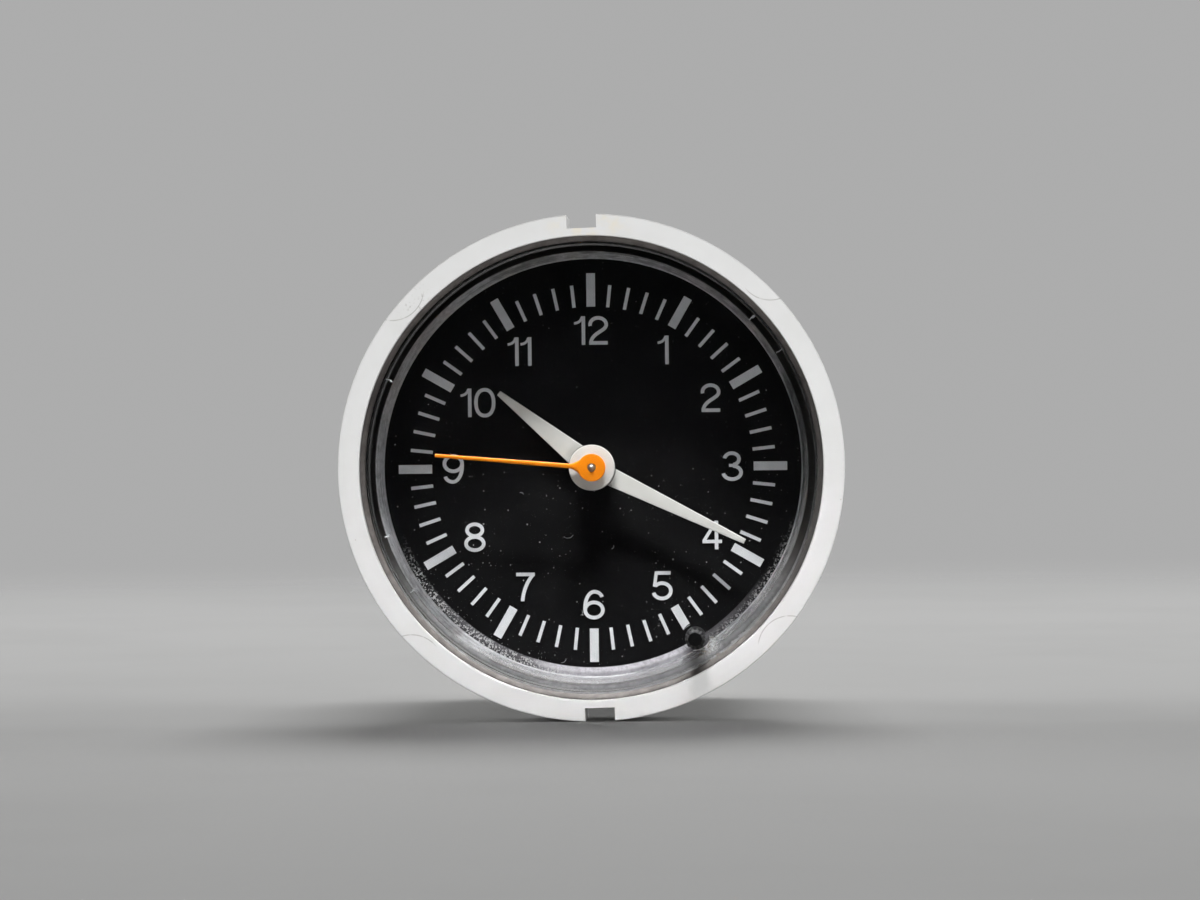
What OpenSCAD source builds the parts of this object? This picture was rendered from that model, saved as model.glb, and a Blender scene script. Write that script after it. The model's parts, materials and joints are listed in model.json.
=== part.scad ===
// Panel clock: a moulded cup with a clear front, hands, a quartz gear train and a push-and-turn setting knob.
// Every module is drawn with the dial axis along z, the face towards +z and twelve o'clock towards +y.
// The last lines turn each one so that the face looks along -Y and twelve o'clock is up.
// The origin is on the dial axis, in the plane of the panel that the flange rests on.

/* [Case] */
// Outside diameter of the front flange
flange_d = 60; // [59:0.5:64]
// Radial thickness of the flange ring
flange_wall = 2.55; // [2.2:0.05:3]
// Diameter of the barrel behind the panel
barrel_d = 52; // [51:0.25:53]
// Wall thickness of the barrel
barrel_wall = 1.2; // [1:0.1:1.5]
// Length of the barrel behind the panel
barrel_length = 34; // [32:0.5:40]
// Thickness of the floor between flange and barrel
floor_t = 1.2; // [1:0.1:1.6]
// Thickness of the back wall
back_t = 2; // [1.6:0.1:3]
// Width of the two notches in the flange
notch_w = 3.5; // [2.5:0.1:4.5]
// Radial depth of the notches
notch_depth = 1.65; // [1:0.05:1.8]
// Turn of the notches from twelve o'clock, clockwise in degrees
notch_turn = -1.6; // [-5:0.1:5]
// Rounding of the flange edges
edge_round = 0.15; // [0.1:0.05:0.6]

/* [Lens] */
// Thickness of the clear window
lens_t = 1.4; // [1.2:0.1:2]
// Depth of the window's face below the flange face
lens_recess = 0.6; // [0.3:0.1:1.5]
// Thickness of the rubber seal around the lens
seal_t = 0.65; // [0.5:0.05:0.8]
// Solid thickness of the lens rim
rim_wall = 1.05; // [0.9:0.05:1.2]
// How far the inside of the rim slopes inwards
rim_slope = 0.8; // [0.6:0.05:1]

/* [Dial] */
// Thickness of the dial
dial_t = 0.5; // [0.4:0.05:0.8]
// Distance from the foot of the lens rim to the hour marks
mark_margin = 1.7; // [1:0.05:2.5]
// Length of the twelve hour marks
hour_mark_l = 4; // [3:0.05:4.5]
// Width of the twelve hour marks
hour_mark_w = 1.05; // [0.8:0.05:1.6]
// Length of the minute marks
minute_mark_l = 2.65; // [2:0.05:3.5]
// Width of the minute marks
minute_mark_w = 0.4; // [0.3:0.05:0.6]
// Thickness of the printed marks
mark_t = 0.05; // [0.04:0.01:0.1]

/* [Hands] */
// Length of the hour hand from the axis
hour_hand_l = 14.3; // [12:0.1:16]
// Width of the hour hand at the axis
hour_hand_w = 3.1; // [2.6:0.1:3.4]
// Length of the minute hand from the axis
minute_hand_l = 20.2; // [18:0.1:22]
// Width of the minute hand at the axis
minute_hand_w = 2.4; // [2:0.1:2.8]
// Width of the hour and minute hands at the tip
hand_tip_w = 0.62; // [0.5:0.02:0.8]
// Length of the second hand from the axis
second_hand_l = 18.7; // [17:0.1:21]
// Width of the second hand near its hub
second_hand_w = 0.55; // [0.45:0.05:0.7]
// Radius of the minute hand's hub
minute_hub_r = 2.73; // [2.5:0.05:3]
// Radius of the second hand's hub
second_hub_r = 1.65; // [1.4:0.05:1.9]
// Thickness of the hour and minute hands
hand_t = 0.5; // [0.4:0.05:0.6]
// Free height between the dial and the hour hand
hand_lift = 0.6; // [0.5:0.05:1]
// Free height between one hand and the next
hand_gap = 0.3; // [0.3:0.05:0.5]
// Hour hand shown, clockwise in degrees from twelve
hour_deg = 309.2; // [0:0.1:360]
// Minute hand shown, clockwise in degrees from twelve
minute_deg = 116.4; // [0:0.1:360]
// Second hand shown, clockwise in degrees from twelve
second_deg = 275; // [0:0.1:360]

/* [Setting knob] */
// Clock angle of the knob in degrees from twelve
knob_deg = 149; // [140:0.5:160]
// Distance of the knob's axis from the inside of the barrel
knob_inset = 1.2; // [1.1:0.05:1.5]
// Radius of the knob
knob_r = 1.2; // [1:0.05:1.3]
// How far the knob stands out of the window
knob_proud = 2.6; // [2:0.1:4]
// Radius of the stem
stem_r = 0.6; // [0.5:0.05:0.7]
// Number of grips around the knob
knob_flutes = 12; // [8:1:16]
// Length of the return spring at rest
spring_l = 6; // [5:0.1:7]

/* [Movement] */
// Distance from the dial axis to the third and the intermediate wheels
train_distance = 9; // [8.6:0.1:9.4]
// Distance from the intermediate wheel to the rotor
rotor_distance = 7.7; // [7.4:0.1:8]
// Distance from the dial axis to the minute wheel
motion_distance = 6; // [5.9:0.05:6.2]
// Thickness of the wheels
wheel_t = 0.9; // [0.7:0.05:1]
// Free height between one level of wheels and the next
level_gap = 0.5; // [0.4:0.05:0.7]
// Thickness of the two movement plates
plate_t = 1.5; // [1.2:0.1:2]
// Play of a pair of teeth along the pitch circle
tooth_play = 0.06; // [0.05:0.01:0.08]
// Radius of the rotor magnet
magnet_r = 2.3; // [2:0.1:2.5]
// Space between the rear plate and the circuit board
board_gap = 3; // [2.5:0.1:4]
// Thickness of the circuit board
board_t = 1.6; // [1.2:0.1:2]
// Radial clearance of a shaft that turns in a bore
running_fit = 0.06; // [0.04:0.01:0.08]
// Radial clearance of a piece pressed on a shaft
press_fit = 0.02; // [0.01:0.005:0.03]

/* [Back] */
// Distance between the two clamp studs
stud_pitch = 32; // [30:0.5:34]
// Radius of the clamp studs
stud_r = 2; // [1.5:0.1:2.2]
// Radius of the stud's root, which the nut holds
stud_root_r = 2.5; // [2.4:0.1:3]
// Length of the studs behind the case
stud_l = 14; // [12:0.5:20]
// Distance between the two supply blades
blade_pitch = 11; // [10:0.5:14]
// Width of the supply blades
blade_w = 6.3; // [4.8:0.1:6.3]
// Thickness of the supply blades
blade_t = 0.8; // [0.5:0.1:1]
// Length of the supply blades behind the case
blade_l = 8; // [6:0.5:10]
// Height of the lamp holder above the axis
lamp_y = 13; // [12:0.5:14]

/* [Hidden] */
$fn = 96;

// Radii of the case and the lens
flange_r = flange_d / 2;
bore_r = flange_r - flange_wall;
barrel_r = barrel_d / 2;
dial_ledge = 1.7;
barrel_in_r = min(barrel_r - barrel_wall, bore_r - dial_ledge);
lens_r = bore_r - seal_t;
window_r = lens_r - rim_wall;
rim_in_r = window_r - rim_slope;
dial_r = lens_r - 0.3;
mark_inner_r = rim_in_r - mark_margin - hour_mark_l;

// Heights in front of the panel
dial_z = floor_t;
dial_top = dial_z + dial_t;
hour_z = dial_top + hand_lift;
minute_z = hour_z + hand_t + hand_gap;
hub_rise = 0.3;
second_t = 0.35;
second_z = minute_z + hand_t + hub_rise + hand_gap;
tip_z = second_z + second_t + 0.25;
lens_back = tip_z + 0.45;
lens_front = lens_back + lens_t;
flange_front = lens_front + lens_recess;

// Heights of the motion work behind the dial
hw1 = dial_z - level_gap;
hw0 = hw1 - wheel_t;
mw1 = hw0 - level_gap;
mw0 = mw1 - wheel_t;
fp1 = mw0 - level_gap;
fp0 = fp1 - plate_t;

// Heights of the going train between the plates
over = 0.15;
cw1 = fp0 - level_gap;
cw0 = cw1 - wheel_t;
tw1 = cw0 - 2 * level_gap - 0.5;
tw0 = tw1 - wheel_t;
sw1 = tw0 - level_gap;
sw0 = sw1 - wheel_t;
iw1 = sw0 - level_gap;
iw0 = iw1 - wheel_t;
rp1 = iw0 - level_gap;
rp0 = rp1 - plate_t;
board_z1 = rp0 - board_gap;
board_z0 = board_z1 - board_t;
back_z = -barrel_length;
back_in = back_z + back_t;

// Tooth counts, set by the ratios
n_centre = 64;
n_third_pinion = 8;
n_third = 60;
n_second_pinion = 8;
n_second = 40;
n_inter_pinion = 8;
n_inter = 48;
n_rotor = 8;
n_cannon = 12;
n_minute = 36;
n_minute_pinion = 10;
n_hour = 40;
n_stem = 8;
pressure_angle = 26;
addendum = 0.75;
dedendum = 0.98;

// Modules from the distances
m_centre = 2 * train_distance / (n_centre + n_third_pinion);
m_third = 2 * train_distance / (n_third + n_second_pinion);
m_second = 2 * train_distance / (n_second + n_inter_pinion);
m_inter = 2 * rotor_distance / (n_inter + n_rotor);
m_motion = 2 * motion_distance / (n_cannon + n_minute);
m_hour = 2 * motion_distance / (n_minute_pinion + n_hour);

// Places of the axes in plan
third_dir = 215;
inter_dir = 32;
rotor_dir = 126;
knob_dir = 90 - knob_deg;
knob_axis_r = barrel_in_r - knob_inset;
third_at = train_distance * [cos(third_dir), sin(third_dir)];
inter_at = train_distance * [cos(inter_dir), sin(inter_dir)];
rotor_at = inter_at + rotor_distance * [cos(rotor_dir), sin(rotor_dir)];
knob_at = knob_axis_r * [cos(knob_dir), sin(knob_dir)];
minute_at = motion_distance * [cos(knob_dir), sin(knob_dir)];

// The setting wheel fills the distance that is left between the minute wheel and the stem
set_span = knob_axis_r - motion_distance;
n_set = ceil(set_span / m_motion - (n_minute + n_stem) / 2) + 1;
set_d1 = m_motion * (n_minute + n_set) / 2;
set_d2 = m_motion * (n_set + n_stem) / 2;
set_bend = acos((set_d1 * set_d1 + set_span * set_span - set_d2 * set_d2) / (2 * set_d1 * set_span));
set_dir = knob_dir + set_bend;
set_at = minute_at + set_d1 * [cos(set_dir), sin(set_dir)];
stem_v = knob_at - set_at;
stem_dir = atan2(stem_v[1], stem_v[0]);

// Turns that bring each pair of wheels into mesh
function mesh(turn, n_a, n_b, dir) = dir + 180 + 180 / n_b - (turn - dir) * n_a / n_b;
turn_third_pinion = mesh(0, n_centre, n_third_pinion, third_dir);
turn_second_pinion = mesh(0, n_third, n_second_pinion, third_dir + 180);
turn_inter_pinion = mesh(0, n_second, n_inter_pinion, inter_dir);
turn_rotor = mesh(0, n_inter, n_rotor, rotor_dir);
turn_minute = mesh(0, n_cannon, n_minute, knob_dir);
turn_hour = mesh(0, n_minute_pinion, n_hour, knob_dir + 180);
turn_set = mesh(turn_minute, n_minute, n_set, set_dir);
turn_stem = mesh(turn_set, n_set, n_stem, stem_dir);

// Shafts on the dial axis, from the inside out
second_arbor_r = 0.5;
centre_bore_r = second_arbor_r + running_fit;
centre_arbor_r = 0.85;
cannon_bore_r = centre_arbor_r + press_fit;
cannon_r = 1.2;
pipe_bore_r = cannon_r + running_fit;
pipe_r = 1.75;
dial_hole_r = pipe_r + 0.35;
pivot_r = 0.35;
arbor_r = 0.5;
post_r = 0.55;

// Levels of the setting stem
stem_gap = 0.3;
push = stem_gap + wheel_t;
stem_pinion_z = mw1 + stem_gap;
knob_z0 = dial_top + push + 0.4;
knob_z1 = lens_front + knob_proud;
guide_z1 = fp1;
guide_z0 = guide_z1 - 5;
collar_t = 0.8;
collar_z1 = guide_z0 - 0.05;
collar_z0 = collar_z1 - collar_t;
seat_z = collar_z0 - spring_l;
tail_z = seat_z - 1.5;
collar_r = 1.15;
stem_groove = 0.15;
spring_wire = 0.28;
spring_turns = 6;
spring_mean_r = stem_r + 0.15 + spring_wire / 2;
lens_hole_r = knob_r + 0.45;

// Movement frame
plate_r = barrel_in_r - 0.3;
rear_r = plate_r - 4.9;
column_r = 2.4;
column_at = barrel_in_r - 2.2;
column_dirs = [15, 135, 255];
pillar_r = 1.6;
pillar_at = rear_r - 1.8;
pillar_dirs = [355, 160, 285];
frame_screw_r = 0.65;
case_screw_r = 0.9;
case_screw_l = 7;
screw_head_t = 0.8;
foot_dirs = [100, 205];
foot_at = 15;
foot_r = 0.6;

// Step motor
stator_t = 0.8;
stator_z1 = tw1 - 0.3;
stator_z0 = stator_z1 - stator_t;
core_t = 1;
core_w = 2.6;
core_half = 9.4;
leg_w = 2.8;
coil_clear = 0.3;
coil_half = core_half - leg_w - 2 * coil_clear;
bobbin_r = 1.75;
bobbin_lip = 0.15;
winding_r = 2.25;
magnet_gap = 0.4;
stator_ring = 1.2;
coil_y = rotor_at[1] + magnet_r + stator_ring + coil_clear + winding_r + bobbin_lip;
coil_z = stator_z1 + core_t / 2;
leg_at = core_half - leg_w / 2;
lip_t = 0.8;
pin_at = coil_half - lip_t / 2;
magnet_z0 = iw1 + 0.6;
magnet_z1 = magnet_z0 + 3.4;

// Studs, their nuts and the tails of the blades
tail_w = 2;
stud_head = 1.2;
head_h = 2.2;
nut_h = 1.1 * stud_root_r;
nut_r = 1.85 * stud_root_r;
root_z = back_z - nut_h - 0.5;

// Lamp
lamp_hole_r = 4.7;
lamp_lip = 1.3;
lamp_lip_t = 1.6;
bulb_r = 2.5;
bulb_l = 10;
tab_at = 3;
tab_t = 0.54;
tab_w = 1.4;
tab_out = 6.5;
tab_l = 10.5;

// Pieces on the circuit board
crystal_at = [-10, 2];
crystal_r = 1.6;
crystal_l = 8;
crystal_lead = 2;
chip_size = [6.4, 9.6, 3.3];
chip_y = -5;
chip_pitch = 2.54;
capacitor_at = [9.5, 4.5];
capacitor_r = 2.5;
capacitor_l = 7.2;
trim_at = [9, -4.5];
trim_r = 2;
trim_h = 2.4;

// Points of an arc in a profile
function arc(x, y, r, a0, a1, n = 5) = [for (i = [0:n]) [x + r * cos(a0 + (a1 - a0) * i / n),
    y + r * sin(a0 + (a1 - a0) * i / n)]];

// Involute teeth: the angle that a flank has turned through between the base circle and radius r
function inv_deg(a) = tan(a) * 180 / PI - a;
function flank(r, rb) = r <= rb ? 0 : inv_deg(acos(rb / r));

// Half the angle of a tooth at radius r, thinned by half the play of the pair
function half_tooth(n, m, r) = (PI * m / 2 - tooth_play / 2) / (n * m) * 180 / PI
    + inv_deg(pressure_angle) - flank(r, n * m / 2 * cos(pressure_angle));

// Radii at which a flank has its points: root, base, pitch and tip
function flank_radii(n, m) = let (pitch = n * m / 2, root = pitch - dedendum * m)
    [root, max(pitch * cos(pressure_angle), root + 0.02), pitch, pitch + addendum * m];

// Outline of a wheel with n teeth of module m
function wheel_points(n, m) = let (rs = flank_radii(n, m), k = len(rs))
    [for (i = [0:n - 1], j = [0:2 * k - 1])
    let (r = j < k ? rs[j] : rs[2 * k - 1 - j], s = j < k ? -1 : 1, a = 360 * i / n + s * half_tooth(n, m, r))
    r * [cos(a), sin(a)]];

module teeth(n, m, z0, z1, turn) {
    translate([0, 0, z0]) rotate([0, 0, turn]) linear_extrude(height = z1 - z0) polygon(wheel_points(n, m));
}

// Copies of a shape at a distance r from the axis, one in each direction
module around(dirs, r) {
    for (a = dirs) rotate([0, 0, a]) translate([r, 0, 0]) children();
}

// Two copies of a shape, one on each side of the middle
module pair(x, y = 0) {
    for (s = [-1, 1]) translate([s * x, y, 0]) children();
}

module rod(r, z0, z1) {
    translate([0, 0, z0]) cylinder(r = r, h = z1 - z0);
}

module tube(r, bore, z0, z1) {
    difference() {
        rod(r, z0, z1);
        rod(bore, z0 - 1, z1 + 1);
    }
}

// A moulded wheel: a toothed rim, a thinner web with five openings and a hub
module toothed_wheel(n, m, z0, z1, turn, hub) {
    rim = n * m / 2 - dedendum * m - 0.7;
    dish = 0.25;
    hole = min((rim - hub) * 0.3, 1.3);
    difference() {
        teeth(n, m, z0, z1, turn);
        tube(rim, hub, z1 - dish, z1 + 1);
        tube(rim, hub, z0 - 1, z0 + dish);
        for (i = [0:4]) rotate([0, 0, 72 * i]) translate([(rim + hub) / 2, 0, 0]) rod(hole, z0 - 1, z1 + 1);
    }
}

// A tapering blade along +y with bevelled upper edges
module blade(l, w, tip, z, t) {
    b = min(0.12, tip / 4);
    translate([0, 0, z]) linear_extrude(height = t - b)
        polygon([[-w / 2, 0], [w / 2, 0], [tip / 2, l], [-tip / 2, l]]);
    translate([0, 0, z + t - b]) polyhedron(
        points = [[-w / 2, 0, 0], [w / 2, 0, 0], [tip / 2, l, 0], [-tip / 2, l, 0],
            [-w / 2 + b, 0, b], [w / 2 - b, 0, b], [tip / 2 - b, l - b, b], [-tip / 2 + b, l - b, b]],
        faces = [[0, 1, 2, 3], [7, 6, 5, 4], [0, 4, 5, 1], [1, 5, 6, 2], [2, 6, 7, 3], [3, 7, 4, 0]]);
}

module case() {
    e = edge_round;
    color("white") difference() {
        union() {
            rotate_extrude() polygon(concat(
                [[0, back_z]],
                arc(barrel_r - 1, back_z + 1, 1, -90, 0),
                [[barrel_r, 0]],
                arc(flange_r - e, e, e, -90, 0),
                arc(flange_r - e, flange_front - e, e, 0, 90),
                arc(bore_r + e, flange_front - e, e, 90, 180),
                [[bore_r, floor_t], [barrel_in_r, floor_t], [barrel_in_r, back_in], [0, back_in]]));
            intersection() {
                rod(barrel_r - 0.3, back_in - 0.5, guide_z1);
                union() {
                    around(column_dirs, column_at) rod(column_r, back_in - 0.5, fp0);
                    translate(knob_at) rod(1.7, back_in - 0.5, seat_z);
                    translate(knob_at) rod(1.7, guide_z0, guide_z1);
                }
            }
            pair(stud_pitch / 2) rod(stud_root_r + 2.4, back_in - 0.5, back_in + 1.5);
        }
        for (a = [0, 180]) rotate([0, 0, a - notch_turn])
            translate([-notch_w / 2, flange_r - notch_depth, -1])
            cube([notch_w, notch_depth + 1, flange_front + 2]);
        around(column_dirs, column_at) rod(case_screw_r - 0.1, fp0 - case_screw_l - 2, fp0 + 1);
        translate(knob_at) rod(stem_r + running_fit, tail_z - push - 1, fp0 + 10);
        translate(knob_at) rod(1.5, guide_z1, floor_t + 0.5);
        pair(stud_pitch / 2) rod(stud_root_r + 0.05, back_z - 1, back_in + 3);
        pair(stud_pitch / 2)
            rod(stud_root_r + stud_head + 0.05, back_in + 0.5, back_in + 3);
        pair(blade_pitch / 2, -lamp_y) translate([-blade_w / 2 - 0.05, -blade_t / 2 - 0.05, back_z - 1])
            cube([blade_w + 0.1, blade_t + 0.1, back_t + 2]);
        translate([0, lamp_y, 0]) rod(lamp_hole_r, back_z - 1, back_in + 1);
    }
}

module lens() {
    color([0.85, 0.9, 0.95, 0.35]) difference() {
        rotate_extrude() polygon([[0, lens_front], [0, lens_back], [window_r, lens_back],
            [rim_in_r, dial_top + 0.02], [lens_r, dial_top + 0.02], [lens_r, lens_front - 0.25],
            [lens_r - 0.25, lens_front]]);
        translate(knob_at) rod(lens_hole_r, dial_top - 1, lens_front + 1);
    }
}

module lens_seal() {
    in_r = lens_r + 0.02;
    out_r = bore_r - 0.02;
    color([0.3, 0.26, 0.23]) rotate_extrude() polygon([[in_r, floor_t + 0.02], [out_r, floor_t + 0.02],
        [out_r, lens_front - 0.1], [bore_r - seal_t / 2, lens_front + 0.1], [in_r, lens_front - 0.3]]);
}

module dial() {
    color([0.03, 0.03, 0.03]) difference() {
        union() {
            rod(dial_r, dial_z, dial_top);
            around(foot_dirs, foot_at) rod(foot_r, fp0 + 0.2, dial_z + 0.1);
        }
        rod(dial_hole_r, dial_z - 1, dial_top + 1);
        translate(knob_at) rod(stem_r + 0.35, dial_z - 1, dial_top + 1);
    }
}

module dial_marks() {
    color([0.9, 0.9, 0.88]) difference() {
        for (i = [0:59]) {
            w = i % 5 == 0 ? hour_mark_w : minute_mark_w;
            l = i % 5 == 0 ? hour_mark_l : minute_mark_l;
            rotate([0, 0, 6 * i]) translate([-w / 2, mark_inner_r, dial_top]) cube([w, l, mark_t]);
        }
        translate(knob_at) rod(lens_hole_r, dial_top - 1, dial_top + 1);
    }
}

module hour_hand() {
    color([0.85, 0.84, 0.8]) rotate([0, 0, -hour_deg]) difference() {
        union() {
            blade(hour_hand_l, hour_hand_w, hand_tip_w, hour_z, hand_t);
            rod(minute_hub_r - 0.15, hour_z, hour_z + hand_t);
        }
        rod(pipe_r + press_fit, hour_z - 1, hour_z + 2);
    }
}

module minute_hand() {
    top = minute_z + hand_t + hub_rise;
    color([0.85, 0.84, 0.8]) rotate([0, 0, -minute_deg]) difference() {
        union() {
            blade(minute_hand_l, minute_hand_w, hand_tip_w, minute_z, hand_t);
            rotate_extrude() polygon(concat([[0, minute_z], [minute_hub_r, minute_z]],
                arc(minute_hub_r - 0.15, top - 0.15, 0.15, 0, 90, 4), [[0, top]]));
        }
        rod(cannon_r + press_fit, minute_z - 1, top + 1);
    }
}

module second_hand() {
    w = second_hand_w / 2;
    top = second_z + second_t;
    edge = 0.12;
    a = acos((second_hub_r - w) / 4.2);
    color([1, 0.55, 0.05]) rotate([0, 0, -second_deg]) difference() {
        union() {
            translate([0, 0, second_z]) linear_extrude(height = second_t) polygon([
                second_hub_r * [cos(a - 4), sin(a - 4)], [w, 4.2], [w * 0.76, second_hand_l],
                [-w * 0.76, second_hand_l], [-w, 4.2], second_hub_r * [-cos(a - 4), sin(a - 4)]]);
            rotate_extrude() polygon(concat([[0, second_z], [second_hub_r, second_z]],
                arc(second_hub_r - edge, top - edge, edge, 0, 90, 3), [[0, top]]));
        }
        rod(second_arbor_r + press_fit, second_z - 1, second_z + 2);
    }
}

module hour_wheel() {
    color([0.9, 0.88, 0.8]) difference() {
        union() {
            toothed_wheel(n_hour, m_hour, hw0, hw1, turn_hour, 2.4);
            rod(pipe_r, hw0, hour_z + hand_t);
        }
        rod(pipe_bore_r, hw0 - 1, hour_z + 2);
    }
}

module cannon_pinion() {
    color([0.75, 0.62, 0.3]) difference() {
        union() {
            teeth(n_cannon, m_motion, mw0 - over, mw1 + over, 0);
            rod(cannon_r, fp1 + 0.15, minute_z + hand_t + 0.1);
        }
        rod(cannon_bore_r, fp1 - 1, minute_z + 3);
    }
}

module centre_wheel() {
    color([0.75, 0.62, 0.3]) difference() {
        union() {
            toothed_wheel(n_centre, m_centre, cw0, cw1, 0, 2);
            rod(centre_arbor_r, cw0 - 0.5, minute_z - 0.3);
        }
        rod(centre_bore_r, cw0 - 2, minute_z + 2);
    }
}

module second_arbor() {
    color([0.75, 0.75, 0.77]) rotate_extrude() polygon(concat([[0, rp0 + 0.2], [pivot_r, rp0 + 0.2],
        [pivot_r, rp1 + 0.1], [second_arbor_r, rp1 + 0.1]],
        arc(second_arbor_r - 0.2, tip_z - 0.2, 0.2, 0, 90, 4), [[0, tip_z]]));
}

module second_wheel() {
    color([0.9, 0.88, 0.8]) difference() {
        union() {
            toothed_wheel(n_second, m_second, sw0, sw1, 0, 2);
            teeth(n_second_pinion, m_third, sw1 - 0.3, tw1 + over, turn_second_pinion);
        }
        rod(second_arbor_r + press_fit, sw0 - 1, tw1 + 1);
    }
}

// An arbor with a pivot at each end, from the front plate to the rear plate
module arbor(r) {
    rod(pivot_r, rp0 + 0.3, fp0 + 1.1);
    rod(r, rp1 + 0.15, fp0 - 0.15);
}

module third_wheel() {
    color([0.9, 0.88, 0.8]) translate(third_at) {
        arbor(arbor_r);
        toothed_wheel(n_third, m_third, tw0, tw1, 0, 2);
        teeth(n_third_pinion, m_centre, tw1 - 0.3, cw1 + over, turn_third_pinion);
    }
}

module intermediate_wheel() {
    color([0.9, 0.88, 0.8]) translate(inter_at) {
        arbor(arbor_r);
        toothed_wheel(n_inter, m_inter, iw0, iw1, 0, 2.3);
        teeth(n_inter_pinion, m_second, iw1 - 0.3, sw1 + over, turn_inter_pinion);
    }
}

module minute_wheel() {
    color([0.9, 0.88, 0.8]) translate(minute_at) difference() {
        union() {
            toothed_wheel(n_minute, m_motion, mw0, mw1, turn_minute, 1.7);
            teeth(n_minute_pinion, m_hour, mw1 - 0.3, hw1 + over, 0);
        }
        rod(post_r + running_fit, mw0 - 1, hw1 + 1);
    }
}

module setting_wheel() {
    color([0.9, 0.88, 0.8]) translate(set_at) difference() {
        union() {
            toothed_wheel(n_set, m_motion, mw0, mw1, turn_set, 1.7);
            rod(1.5, mw0, hw1);
        }
        rod(post_r + running_fit, mw0 - 1, hw1 + 1);
    }
}

module rotor_magnet() {
    color([0.35, 0.35, 0.37]) translate(rotor_at) tube(magnet_r, arbor_r + press_fit, magnet_z0, magnet_z1);
}

module rotor_pinion() {
    color([0.9, 0.88, 0.8]) translate(rotor_at) {
        arbor(arbor_r);
        teeth(n_rotor, m_inter, iw0 - over, iw1 + over, turn_rotor);
        rod(1.1, iw1 + over, magnet_z0 - 0.02);
    }
}

module stator() {
    x = rotor_at[0];
    y = rotor_at[1];
    w = leg_w;
    arm = 2.2;
    color([0.55, 0.56, 0.58]) difference() {
        union() {
            translate(rotor_at) rod(magnet_r + stator_ring, stator_z0, stator_z1);
            translate([0, 0, stator_z0]) linear_extrude(height = stator_t) {
                for (s = [-1, 1]) polygon([[x, y - arm], [s * core_half, y - arm / 2],
                    [s * core_half, coil_y + core_w / 2], [s * (core_half - w), coil_y + core_w / 2],
                    [s * (core_half - w), y + arm], [x, y + arm]]);
            }
        }
        translate(rotor_at) rod(magnet_r + magnet_gap, stator_z0 - 1, stator_z1 + 1);
        for (a = [40, 220]) translate(rotor_at) rotate([0, 0, a]) translate([magnet_r + magnet_gap, 0, 0])
            rod(0.3, stator_z0 - 1, stator_z1 + 1);
        pair(leg_at, coil_y) rod(0.7, stator_z0 - 1, stator_z1 + 1);
    }
}

module coil_core() {
    color([0.6, 0.61, 0.63]) difference() {
        translate([-core_half, coil_y - core_w / 2, stator_z1]) cube([2 * core_half, core_w, core_t]);
        pair(leg_at, coil_y) rod(0.7, stator_z1 - 1, stator_z1 + 3);
    }
}

// A round bar along x between two places
module bar_x(r, x0, x1) {
    translate([x0, coil_y, coil_z]) rotate([0, 90, 0]) cylinder(r = r, h = x1 - x0);
}

module coil_bobbin() {
    color([0.15, 0.15, 0.16]) difference() {
        union() {
            bar_x(bobbin_r, -coil_half, coil_half);
            for (s = [-1, 1]) bar_x(winding_r + bobbin_lip, s > 0 ? coil_half - lip_t : -coil_half,
                s > 0 ? coil_half : lip_t - coil_half);
        }
        translate([-coil_half - 1, coil_y - core_w / 2 - 0.03, stator_z1 - 0.03])
            cube([2 * coil_half + 2, core_w + 0.06, core_t + 0.06]);
        pair(pin_at, coil_y) rod(0.25, coil_z - winding_r - 1, coil_z - 0.9);
    }
}

module coil_winding() {
    color([0.72, 0.36, 0.16]) difference() {
        bar_x(winding_r, lip_t + 0.05 - coil_half, coil_half - lip_t - 0.05);
        bar_x(bobbin_r + 0.02, -coil_half, coil_half);
    }
}

module coil_pins() {
    color([0.75, 0.75, 0.77]) pair(pin_at, coil_y)
        rod(0.23, board_z0 - 0.6, coil_z - 1);
}

module stator_screws() {
    color([0.7, 0.7, 0.72]) pair(leg_at, coil_y) {
        rod(0.65, stator_z0 - screw_head_t, fp0 + 1.2);
        rod(1.2, stator_z0 - screw_head_t, stator_z0 - 0.02);
    }
}

module front_plate() {
    color([0.92, 0.9, 0.84]) difference() {
        union() {
            rod(plate_r, fp0, fp1);
            translate(minute_at) rod(post_r, fp1 - 0.2, hw1);
            translate(minute_at) rod(1.2, fp1 - 0.2, mw0 - 0.1);
            translate(set_at) rod(post_r, fp1 - 0.2, mw1 + 0.4);
            translate(set_at) rod(1.2, fp1 - 0.2, mw0 - 0.1);
            pair(leg_at, coil_y)
                rod(1.25, stator_z1 + core_t + 0.02, fp0 + 0.2);
        }
        rod(centre_arbor_r + running_fit, fp0 - 1, fp1 + 1);
        for (p = [third_at, inter_at, rotor_at]) translate(p) rod(pivot_r + running_fit, fp0 - 1, fp0 + 1.2);
        around(column_dirs, column_at) rod(case_screw_r + 0.15, fp0 - 1, fp1 + 1);
        around(foot_dirs, foot_at) rod(foot_r + 0.05, fp0 - 1, fp1 + 1);
        pair(leg_at, coil_y) rod(0.67, stator_z1, fp0 + 1.25);
        translate(knob_at) rod(2.1, fp0 - 1, fp1 + 1);
        for (a = [[30, 70], [78, 118], [152, 196], [204, 240]])
            rotate([0, 0, a[0]]) rotate_extrude(angle = a[1] - a[0])
            translate([plate_r - 3.6, fp0 - 1]) square([2, plate_t + 2]);
    }
}

module rear_plate() {
    color([0.92, 0.9, 0.84]) difference() {
        rod(rear_r, rp0, rp1);
        rod(pivot_r + running_fit, rp0 - 1, rp1 + 1);
        for (p = [third_at, inter_at, rotor_at]) translate(p) rod(pivot_r + running_fit, rp0 - 1, rp1 + 1);
        around(pillar_dirs, pillar_at) rod(frame_screw_r + 0.1, rp0 - 1, rp1 + 1);
        pair(pin_at, coil_y) rod(0.6, rp0 - 1, rp1 + 1);
    }
}

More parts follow.
